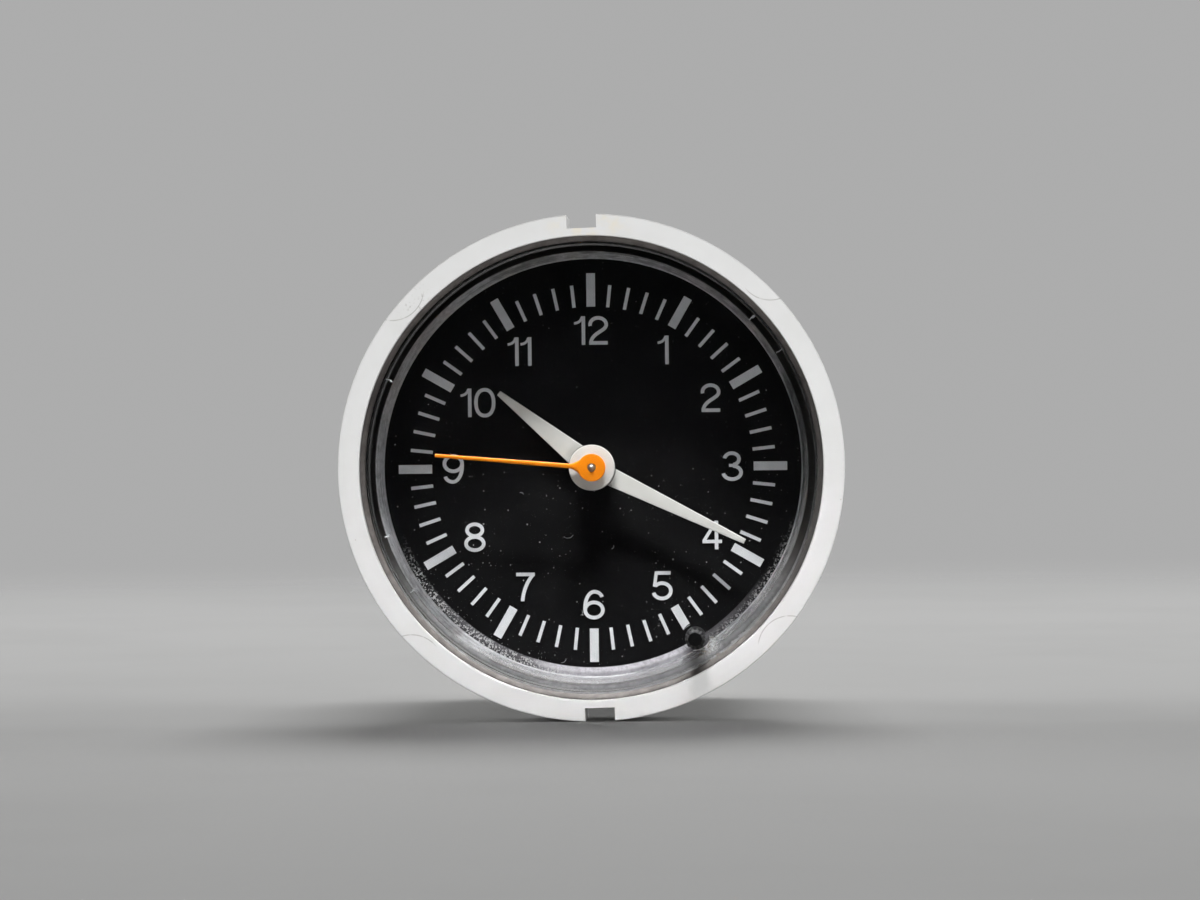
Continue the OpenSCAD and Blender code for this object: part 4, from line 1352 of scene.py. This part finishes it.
class Glyphs:
    """Plain upright numerals drawn as strokes: arcs, lines and curves in a box one unit high."""

    stroke: float = 0.125
    gap: float = 0.11
    swell: dict[str, Span] = dict.fromkeys("03689", (1.06, 1.035)) | {"5": (1.05, 1.02)}
    widths: dict[str, float] = dict.fromkeys("05689", 0.71) | {"1": 0.385, "2": 0.69, "3": 0.7, "4": 0.69,
                                                               "7": 0.67}

    @staticmethod
    def arc(cu: float, cv: float, ru: float, rv: float, start: float, end: float,
            power: float = 2.0) -> np.ndarray:
        """Part of a (super)ellipse: (cu + ru q cos a, cv + rv q sin a), q = (|cos a|^p + |sin a|^p)^(-1/p).

        Args:
            cu: middle, across.
            cv: middle, up.
            ru: half its width.
            rv: half its height.
            start: first angle in degrees.
            end: last angle in degrees.
            power: p, 2 for an ellipse and more for a squarer one.

        Returns:
            Its points (u, v).
        """
        a = np.radians(np.linspace(start, end, max(8, int(abs(end - start) / 7))))
        c, s = np.cos(a), np.sin(a)
        squash = (np.abs(c) ** power + np.abs(s) ** power) ** (-1 / power)
        return np.column_stack([cu + ru * squash * c, cv + rv * squash * s])

    @staticmethod
    def curve(*knots: Span) -> np.ndarray:
        """The Bezier curve on four knots, or the line on two.

        Args:
            knots: points (u, v).

        Returns:
            Its points (u, v).
        """
        p = np.array(knots, float)
        if len(p) == 2:
            return p
        t = np.linspace(0.0, 1.0, 18)[:, None]
        return p[0] * (1 - t) ** 3 + 3 * p[1] * t * (1 - t) ** 2 + 3 * p[2] * t * t * (1 - t) + p[3] * t ** 3

    @classmethod
    def strokes(cls, digit: str) -> list[tuple[np.ndarray, float, bool]]:
        """The strokes of a digit.

        Args:
            digit: one of 0 to 9.

        Returns:
            Each stroke's middle line, its width as a share of the usual one, and whether it is closed.
        """
        h = cls.stroke / 2
        arc, curve = cls.arc, cls.curve
        if digit == "0":
            return [(arc(0.355, 0.5, 0.355 - h, 0.5 - h, 0, 353, 2.25), 1.0, True)]
        if digit == "1":
            flag = curve((0.0, 0.755), (0.15, 0.765), (0.235, 0.83), (0.285, 0.985))
            return [(curve((0.385 - h, 0.0), (0.385 - h, 1.0)), 1.0, False), (flag, 0.72, False)]
        if digit == "2":
            bowl = arc(0.345, 0.705, 0.345 - h, 0.295 - h, 192, -12)
            tail = curve(tuple(bowl[-1]), (0.57, 0.47), (0.12, 0.4), (0.085, h + 0.01))
            return [(np.vstack([bowl, tail[1:]]), 1.0, False), (curve((0.025, h), (0.675, h)), 1.0, False)]
        if digit == "3":
            upper = arc(0.335, 0.74, 0.3 - h, 0.26 - h, 172, -78)
            lower = arc(0.345, 0.287, 0.355 - h, 0.287 - h, 84, -172)
            middle = curve((0.24, 0.528), (0.39, 0.524))
            return [(upper, 1.0, False), (lower, 1.0, False), (middle, 0.85, False)]
        if digit == "4":
            return [(curve((0.5, 0.0), (0.5, 1.0)), 1.0, False),
                    (curve((0.01, 0.275), (0.69, 0.275)), 0.95, False),
                    (curve((0.482, 0.965), (0.055, 0.29)), 0.9, False)]
        if digit == "5":
            bowl = arc(0.345, 0.325, 0.355 - h, 0.325 - h, 142, -165)
            return [(bowl, 1.0, False), (curve((0.15, 1 - h), (0.635, 1 - h)), 1.0, False),
                    (curve((0.165, 0.99), (0.095, 0.47)), 0.9, False)]
        if digit == "6":
            sweep = np.vstack([arc(0.37, 0.71, 0.32 - h, 0.29 - h, 12, 88),
                               arc(0.37, 0.4, 0.37 - h, 0.6 - h, 90, 180), [[h, 0.325]]])
            return [(arc(0.355, 0.32, 0.355 - h, 0.32 - h, 0, 353), 1.0, True), (sweep, 1.0, False)]
        if digit == "7":
            slant = curve((0.615, 0.93), (0.44, 0.74), (0.27, 0.42), (0.235, 0.0))
            return [(curve((0.02, 1 - h), (0.67, 1 - h)), 1.0, False), (slant, 1.0, False)]
        if digit == "8":
            return [(arc(0.355, 0.74, 0.315 - h, 0.26 - h, 0, 353), 1.0, True),
                    (arc(0.355, 0.285, 0.355 - h, 0.285 - h, 0, 353), 1.0, True)]
        turned = np.array([cls.widths["6"], 1.0])
        return [(turned - line, width, closed) for line, width, closed in cls.strokes("6")]


@dataclass
class DialPrint:
    """The numerals of the dial and the lint that lies on it; a fibre is u, v, degrees and length."""

    height: float = 3.42
    radius: float = 16.4
    side_outset: float = 0.3
    ten_inset: float = 0.6
    lean: float = 1.6
    eleven_gap: float = 0.6
    thickness: float = 0.05
    base_gap: float = 0.001
    lift: float = 0.0015
    lint_radius: float = 0.016
    lint_sides: int = 5
    lint_curl: float = 0.9
    lint_arch: float = 0.06
    lint: tuple[tuple[float, float, float, float], ...] = (
        (-2.9, -8.4, 12.0, 1.3), (-1.4, -17.4, 75.0, 0.7), (-3.6, -23.2, 40.0, 0.9), (5.9, -2.6, 20.0, 0.7),
        (9.7, -5.5, 130.0, 0.4), (-8.5, -2.9, 160.0, 0.5), (2.4, -9.6, 60.0, 0.6))

    def numeral(self, hour: int, base: float) -> list[Surface]:
        """One numeral, upright and centred on its hour's ray.

        Args:
            hour: from 1 to 12.
            base: height of the dial's face.

        Returns:
            Its strokes, each a hair higher than the last so that no two faces lie in one plane.
        """
        digits = str(hour)
        reach = self.radius + {3: self.side_outset, 9: self.side_outset, 10: -self.ten_inset}.get(hour, 0.0)
        angle = math.radians(30 * hour + {1: self.lean, 11: -self.lean}.get(hour, 0.0))
        middle = np.array([math.sin(angle), math.cos(angle)]) * reach
        gap = Glyphs.gap * (self.eleven_gap if hour == 11 else 1.0)
        left, made = -(sum(Glyphs.widths[d] for d in digits) + gap * (len(digits) - 1)) / 2, []
        for digit in digits:
            swell = np.array(Glyphs.swell.get(digit, (1.0, 1.0)))
            half = np.array([Glyphs.widths[digit] / 2, 0.5])
            for line, width, closed in Glyphs.strokes(digit):
                path = ((line - half) * swell + [left + half[0], 0.0]) * self.height + middle
                foot = base + self.lift * len(made)
                made.append(ribbon(path, Glyphs.stroke * self.height * width, foot + self.base_gap,
                                   foot + self.thickness, closed))
            left += Glyphs.widths[digit] + gap
        return made

    def fibre(self, spot: tuple[float, float, float, float], base: float) -> Surface:
        """One curled fibre: (u + l t cos d, v + l t sin d), d turning along it and its middle raised.

        Args:
            spot: middle u and v, direction in degrees and length l.
            base: height of the dial's face.

        Returns:
            The fibre on the dial.
        """
        u, v, deg, length = spot
        t = np.linspace(-0.5, 0.5, 9)
        along = np.radians(deg) + self.lint_curl * t
        path = [u + length * t * np.cos(along), v + length * t * np.sin(along),
                base + self.lint_radius + self.lint_arch * (0.25 - t * t)]
        return tube(np.column_stack(path), self.lint_radius, self.lint_sides)

    def build(self) -> None:
        """Builds the numerals and the lint on the dial's face."""
        base = float(Face.span("dial")[1][2])
        strokes = [s for hour in range(1, 13) for s in self.numeral(hour, base)]
        Piece("dial_numerals", "case", "dial_print", strokes).build()
        fibres = [self.fibre(spot, base) for spot in self.lint]
        Piece("dial_lint", "case", "dial_print", fibres, sharp_deg=60.0).build()


@dataclass
class LensSeal:
    """The rubber seal around the lens, flush at the flange and drawn down at the lens."""

    drop: float = 0.4
    gap: float = 0.02
    steps: int = 9
    segments: int = 192

    def build(self) -> None:
        """Builds the seal, whose face falls by drop x t^2 from the flange, t = 0, to the lens, t = 1."""
        low, high = Face.span("lens_seal")
        inner, outer = float(Face.span("lens")[1][0]) + self.gap, float(high[0])
        t = np.linspace(0.0, 1.0, self.steps)
        face = zip(outer + (inner - outer) * t, high[2] - self.drop * t ** 2)
        ring = lathe([(inner, low[2]), (outer, low[2]), *face], self.segments)
        Piece("lens_seal_pressed", "case", "seal_rubber", [Surface(ring.points, closed_rows=True)],
              ("lens_seal",), 40.0).build()


@dataclass
class SettingKnob:
    """The fluted setting knob: a waisted cylinder with grips and a facetted end."""

    flutes: int = 12
    flute_depth: float = 0.09
    flute_power: float = 0.7
    grip_from: Span = (0.3, 0.35)
    grip_fade: float = 0.25
    toe: float = 0.05
    bevel: float = 0.5
    facets: int = 8
    end: float = 0.8
    end_rings: tuple[float, ...] = (0.94, 0.5, 0.0)
    end_rise: float = 0.03
    segments: int = 192

    def build(self) -> None:
        """Builds the knob where its CAD node is: a fluted side that bevels into a facetted end.

        On the side r = R (1 - depth g(a) m(w)), with g the rounded grooves and m their length. On the bevel
        r goes evenly over to that of a polygon, end / cos of the angle to the middle of its nearest side.
        """
        low, high = Face.span("set_knob")
        middle, radius = (low + high) / 2, (high[0] - low[0]) / 2
        lens_front = float(Face.span("lens")[1][2])
        rise = high[2] - lens_front
        shoulder = high[2] - self.bevel
        a = around(self.segments)
        groove = np.clip(np.cos(self.flutes * a), 0.0, 1.0) ** self.flute_power
        start, full = (lens_front + share * rise for share in self.grip_from)
        w = np.concatenate([[low[2], low[2] + self.toe], np.linspace(start, shoulder, 14)])
        grip = smoothstep((w - full) / self.grip_fade)
        side = radius * (1 - self.flute_depth * grip[:, None] * groove[None, :])
        side[0] -= self.toe
        sector = TURN / self.facets
        polygon = self.end / np.cos(np.mod(a, sector) - sector / 2)
        x = np.linspace(0.0, 1.0, 9)[1:, None]
        slope = side[-1] * (1 - x) + polygon * x
        r = np.concatenate([side[:1] * 0.0, side, slope, np.outer(self.end_rings, polygon)])
        w = np.concatenate([w[:1], w, shoulder + (self.bevel - self.end_rise) * x[:, 0],
                            [high[2]] * len(self.end_rings)])
        Piece("set_knob_fluted", "knob", "knob_black", [Surface(polar(r, a, w)).moved(*middle[:2])],
              ("set_knob",), 24.0).build()


@dataclass
class ReturnSpring:
    """The spring under the collar of the setting stem."""

    wire: float = 0.28
    turns: int = 6
    steps: int = 24
    sides: int = 10

    def build(self) -> None:
        """Builds the coil along the helix (R cos a, R sin a, rise t), a = turns t, where the CAD spring is.
        """
        low, high = Face.span("set_spring")
        middle, radius = (low + high) / 2, (high[0] - low[0] - self.wire) / 2
        t = np.linspace(0.0, 1.0, self.turns * self.steps + 1)
        a = TURN * self.turns * t
        w = low[2] + self.wire / 2 + (high[2] - low[2] - self.wire) * t
        path = np.stack([middle[0] + radius * np.cos(a), middle[1] + radius * np.sin(a), w], -1)
        ends = np.array([[*middle[:2], low[2]], [*middle[:2], high[2] - self.wire]])
        seat, top = Face.to_row(ends)
        coil = tube(path, self.wire / 2, self.sides)
        Piece("set_spring_coil", "case", "steel", [coil], ("set_spring",), 60.0,
              ("push", tuple(seat), tuple(top))).build()


@dataclass
class BackFittings:
    """Threaded clamp studs with their nuts behind the case."""

    stud_r: float = 2.0
    stud_bevel: float = 0.4
    root_r: float = 2.5
    root_out: float = 0.5
    thread_end: float = 0.5
    head_depth: float = 1.7
    pitch: float = 0.7
    pitch_steps: int = 10
    thread_depth: float = 0.3
    thread_flat: Span = (1.25, 0.12)
    thread_start: float = 0.5
    thread_gap: float = 0.6
    root_start: float = 0.3
    root_share: float = 0.8
    stud_segments: int = 60
    nut_bevel: float = 0.5
    nut_cone: Span = (0.97, 1.75)
    nut_gap: Span = (0.01, 0.02)
    nut_segments: int = 120

    def stud(self, low: np.ndarray, high: np.ndarray, nut_back: float) -> Surface:
        """A stepped stud with a thread: r = R(w) - depth tri(w / pitch - a / turn), faded at both ends.

        Args:
            low: lowest (u, v, w) of the CAD studs.
            high: highest (u, v, w) of the CAD studs.
            nut_back: height of the nut's rear face.

        Returns:
            The stud on the dial's axis.
        """
        head_r = (high[1] - low[1]) / 2
        end, step, seat = low[2], nut_back - self.root_out, high[2] - self.head_depth
        rise = self.pitch / self.pitch_steps
        thread, root = np.arange(end, step - self.thread_end, rise), np.arange(step, seat, rise)
        w = np.concatenate([thread, root, [seat, seat, high[2]]])
        tip = np.minimum(self.stud_r, self.stud_r - self.stud_bevel + (thread - end))
        full = np.concatenate([tip, np.full(len(root), self.root_r), [self.root_r, head_r, head_r]])
        run_out = smoothstep((step - self.thread_gap - thread) / self.thread_gap)
        fade = np.concatenate([smoothstep((thread - end) / self.thread_start) * run_out,
                               smoothstep((root - step) / self.root_start) * self.root_share, np.zeros(3)])
        a = around(self.stud_segments)
        tooth = np.abs(2 * np.mod(w[:, None] / self.pitch - a[None, :] / TURN, 1.0) - 1)
        steep, flat = self.thread_flat
        r = full[:, None] - self.thread_depth * fade[:, None] * np.clip(tooth * steep - flat, 0.0, 1.0)
        return Surface(capped(polar(r, a, w)))

    def nut(self, flats: float, low: float, high: float) -> Surface:
        """A hexagon nut: r = flats / cos of the angle to the nearest flat, cut by a cone at both faces.

        Args:
            flats: half the width across the flats.
            low: height of its rear face.
            high: height of its seat.

        Returns:
            The nut on the dial's axis, with its bore.
        """
        a = around(self.nut_segments)
        hexagon = flats / np.cos(np.mod(a, TURN / 6) - TURN / 12)
        bevel = np.linspace(0.0, self.nut_bevel, 6)
        w = np.concatenate([low + bevel, high - bevel[::-1]])
        face, steep = self.nut_cone
        cone = flats * face + np.minimum(w - low, high - w) * steep
        fit, sink = self.nut_gap
        bore = np.full((1, len(a)), self.root_r + fit)
        r = np.concatenate([bore, np.minimum(hexagon[None, :], cone[:, None]), bore])
        w = np.concatenate([[low + sink], w, [high]])
        return Surface(polar(r, a, w), closed_rows=True)

    def build(self) -> None:
        """Builds both studs and both nuts."""
        low, high = Face.span("clamp_studs")
        nut_low, nut_high = Face.span("stud_nuts")
        aside = (high[0] - low[0] - (high[1] - low[1])) / 2
        stud = self.stud(low, high, float(nut_low[2]))
        nut = self.nut(float(nut_high[1] - nut_low[1]) / 2, float(nut_low[2]), float(nut_high[2]))
        Piece("clamp_studs_threaded", "case", "zinc", [stud.moved(s * aside, 0.0) for s in (-1, 1)],
              ("clamp_studs",), 40.0).build()
        Piece("stud_nuts_bevelled", "case", "zinc", [nut.moved(s * aside, 0.0) for s in (-1, 1)],
              ("stud_nuts",), 25.0).build()


class CadDress:
    """Gives every CAD node that still shows the finish of its slot."""

    @staticmethod
    def dress() -> None:
        """Swaps each shown node's material for its procedural one."""
        slots = {part["node"]: part["material_slot"] for part in frame["record"]["subparts"]}
        for name, node in frame["nodes"].items():
            if node.hide_render:
                continue
            node.data.materials.clear()
            node.data.materials.append(PaintShop.coat(slots[name]))
            log.info("%s: finish %s", name, slots[name])


# Stage, lamps and camera


@dataclass
class Stage:
    """A wide pale floor under the clock and a bent dark card in front that only gloss and glass see."""

    radius: float = 4.0
    tint: Rgb = (0.62, 0.62, 0.615)
    shade: Rgb = (0.59, 0.59, 0.585)
    blot: float = 60.0
    card_tint: Rgb = (0.01, 0.01, 0.01)
    card_shade: Rgb = (0.012, 0.012, 0.012)
    card_half: float = 1.6
    card_from: float = -0.012
    card_at: float = -0.55
    card_lift: float = 0.0002

    def sheet(self, name: str, points: np.ndarray, material: Material) -> bpy.types.Object:
        """A stage object.

        Args:
            name: its name.
            points: its grid of row points in metres.
            material: its finish.

        Returns:
            The object.
        """
        mesh = bpy.data.meshes.new(name)
        mesh.from_pydata(points.reshape(-1, 3), [], Surface(points, closed_cols=False).quads(0))
        mesh.materials.append(material)
        made = bpy.data.objects.new(name, mesh)
        bpy.context.scene.collection.objects.link(made)
        return made

    def build(self) -> bpy.types.Object:
        """Lays the floor under the lowest point of the clock and hangs the card behind the camera.

        Returns:
            The floor.
        """
        ground = cad_box[0].z
        paper = FloorPaper("stage_floor", self.tint, self.shade, 0.85, blot=self.blot, gloss_drift=0.05,
                           shine=0.1).make()
        side = np.linspace(-self.radius, self.radius, 9)
        x, y = np.meshgrid(side, side, indexing="xy")
        floor = self.sheet("floor", np.stack([x, y, np.full_like(x, ground)], -1), paper)
        dark = DarkCard("stage_card", self.card_tint, self.card_shade, 0.9, blot=self.blot, shine=0.0).make()
        low = ground + self.card_lift
        bend = [(self.card_from, low), (self.card_at, low), (self.card_at, ground + 2 * self.card_half)]
        y, z = np.array(bend).T
        x = np.array([-self.card_half, self.card_half])
        leaves = [np.broadcast_to(x, (3, 2)), np.outer(y, [1, 1]), np.outer(z, [1, 1])]
        card = self.sheet("dark_card", np.stack(leaves, -1), dark)
        card.visible_camera = False
        card.visible_shadow = False
        return floor


@dataclass(frozen=True)
class SoftBox:
    """A soft box: its place in metres, its power in watts, and its width and height in metres."""

    name: str
    at: Triple
    power: float
    size: Span


class Lit(Enum):
    """Whether a lamp's list names what it lights or what it leaves out."""

    ONLY = "INCLUDE"
    ALL_BUT = "EXCLUDE"


@dataclass
class Lamps:
    """Narrow strips high above the face, two boxes for the flange, three for the barrel and a pale world.

    A first fan of strips lights all but floor and case. A second one, lower and shallower, lights the flange
    alone, so that the upper part of its outer side stays below white.
    """

    key_tilt: float = 78.0
    key_distance: float = 0.16
    key_spread: float = 5.0
    key_power: float = 0.0158
    key_turns: tuple[float, ...] = (-12.0, -8.0, -4.0, 0.0, 4.0, 8.0, 12.0)
    key_margins: Span = (1.25, 2.0)
    face_depth: float = 0.002
    flange_turns: tuple[float, ...] = (-8.0, -4.0, 0.0)
    flange_drop: float = 0.022
    flange_share: float = 0.5
    rim_box: SoftBox = SoftBox("rim_box", (0.2, -0.5, 0.05), 1.5, (0.5, 0.5))
    near_box: SoftBox = SoftBox("near_box", (0.0, -0.11, 0.02), 0.058, (0.12, 0.03))
    barrel_boxes: tuple[SoftBox, ...] = (
        SoftBox("top_box", (0.1, 0.45, 0.75), 4.0, (0.6, 0.4)),
        SoftBox("left_box", (-0.7, 0.4, 0.25), 2.2, (0.4, 0.5)),
        SoftBox("right_box", (0.75, 0.3, 0.3), 1.6, (0.4, 0.5)))
    barrel_middle: Triple = (0.0, 0.02, 0.0)
    world_fill: float = 0.165
    world_seen: float = 0.52
    world_through: float = 0.012

    def area(self, name: str, place: Matrix, power: float, size: Span) -> bpy.types.Object:
        """One area lamp.

        Args:
            name: its name.
            place: its place and turn; it shines along its own -Z.
            power: watts.
            size: width and height in metres.

        Returns:
            The lamp.
        """
        lamp = bpy.data.lights.new(name, "AREA")
        lamp.energy = power
        lamp.shape = "RECTANGLE"
        lamp.size, lamp.size_y = size
        made = bpy.data.objects.new(name, lamp)
        made.matrix_world = place
        bpy.context.scene.collection.objects.link(made)
        return made

    def box(self, kind: SoftBox) -> bpy.types.Object:
        """Hangs a soft box that faces the barrel.

        Args:
            kind: the soft box.

        Returns:
            The lamp.
        """
        spot = Vector(kind.at)
        turn = (Vector(self.barrel_middle) - spot).to_track_quat("-Z", "Y").to_matrix().to_4x4()
        return self.area(kind.name, Matrix.Translation(spot) @ turn, kind.power, kind.size)

    def strip(self, name: str, turn: float, face: Vector, share: float) -> bpy.types.Object:
        """A gridded strip, from a clock angle and at a tilt from the dial's axis.

        Args:
            name: its name.
            turn: the clock angle in degrees that it hangs at.
            face: the middle of what its beam covers.
            share: the beam's depth as a share of what covers the whole face.

        Returns:
            The lamp, as bright at any depth.
        """
        width = cad_box[1].x - cad_box[0].x
        side, lean = math.radians(turn), math.radians(self.key_tilt)
        away = Vector((math.sin(side) * math.sin(lean), -math.cos(lean), math.cos(side) * math.sin(lean)))
        across = Vector((math.cos(side), 0.0, -math.sin(side)))
        axes = Matrix((across, away.cross(across), away)).transposed().to_4x4()
        wide, deep = (width * margin for margin in self.key_margins)
        made = self.area(name, Matrix.Translation(face + self.key_distance * away) @ axes,
                         share * self.key_power / len(self.key_turns), (wide, share * deep * math.cos(lean)))
        made.data.shape = "ELLIPSE"
        made.data.spread = math.radians(self.key_spread)
        made.visible_transmission = False
        return made

    @staticmethod
    def receivers(name: str, pieces: Iterable[bpy.types.Object], lit: Lit) -> bpy.types.Collection:
        """A list of what a lamp lights.

        Args:
            name: the list's name.
            pieces: the objects on it.
            lit: whether these alone are lit, or left out.

        Returns:
            The list, as a collection.
        """
        made = bpy.data.collections.new(name)
        for piece in pieces:
            made.objects.link(piece)
        for item in made.collection_objects:
            item.light_linking.link_state = lit.value
        return made

    def world(self) -> None:
        """Even light: dim for what it lights, dimmer behind the lens, pale where it is seen or mirrored."""
        bpy.context.scene.world = bpy.data.worlds.new("studio")
        b = Bench(bpy.context.scene.world)
        path = b.node("ShaderNodeLightPath").outputs
        through = Value(b, path["Is Transmission Ray"])
        seen = through + path["Is Camera Ray"] + path["Is Glossy Ray"]
        direct = Value(b, path["Diffuse Depth"]) < 0.5
        lit = through.ramp(0.0, 1.0, self.world_fill, self.world_through)
        level = (seen * direct).ramp(0.0, 1.0) * (self.world_seen - lit) + lit
        sky = b.node("ShaderNodeBackground", None, {"Strength": level})
        b.node("ShaderNodeOutputWorld", None, {"Surface": sky.outputs[0]})

    def build(self, floor: bpy.types.Object) -> None:
        """Hangs the lamps and lights the world.

        Args:
            floor: the stage's floor, which the strips leave out.
        """
        face = Vector((0.0, cad_box[0].y + self.face_depth, 0.0))
        low = face - Vector((0.0, 0.0, self.flange_drop))
        case = frame["nodes"]["case"]
        inside = self.receivers("strips_light", [floor, case], Lit.ALL_BUT)
        flange = self.receivers("flange_light", [case], Lit.ONLY)
        for turn in self.key_turns:
            strip = self.strip(f"strip_{turn:+.0f}", turn, face, 1.0)
            strip.light_linking.receiver_collection = inside
        for turn in self.flange_turns:
            strip = self.strip(f"flange_strip_{turn:+.0f}", turn, low, self.flange_share)
            strip.light_linking.receiver_collection = flange
        rim, near = self.box(self.rim_box), self.box(self.near_box)
        near.visible_camera = False
        rim.light_linking.receiver_collection = flange
        near.light_linking.receiver_collection = flange
        for kind in self.barrel_boxes:
            self.box(kind)
        self.world()


@dataclass
class Viewpoint:
    """The camera, straight in front of the dial and turned a little, as the photograph was taken."""

    lens: float = 100.0
    sensor: float = 36.0
    clip: Span = (0.01, 20.0)
    distance: float = 0.3936
    right: float = 0.00082
    above: float = 0.00209
    roll: float = -0.6
    swing: float = 2.5

    def build(self) -> None:
        """Makes the scene's camera."""
        data = bpy.data.cameras.new("camera")
        data.lens = self.lens
        data.sensor_width = self.sensor
        data.clip_start, data.clip_end = self.clip
        front = float(Face.span("case")[1][2]) * MM
        camera = bpy.data.objects.new("camera", data)
        place = Matrix.Translation((self.right, -front - self.distance, self.above))
        turn = Matrix.Rotation(math.pi / 2, 4, "X") @ Matrix.Rotation(math.radians(self.roll), 4, "Z")
        camera.matrix_world = Matrix.Rotation(math.radians(self.swing), 4, "Z") @ place @ turn
        bpy.context.scene.collection.objects.link(camera)
        bpy.context.scene.camera = camera


def main() -> None:
    """Builds the pieces, dresses the CAD nodes and sets the stage."""
    logging.basicConfig(level=logging.INFO, format="%(name)s %(message)s")
    Viewpoint().build()
    for assembly in (Hands(), DialPrint(), LensSeal(), SettingKnob(), ReturnSpring(), BackFittings()):
        assembly.build()
    CadDress.dress()
    Lamps().build(Stage().build())
    bpy.context.scene.view_settings.view_transform = "Standard"


if __name__ == "__main__":
    main()
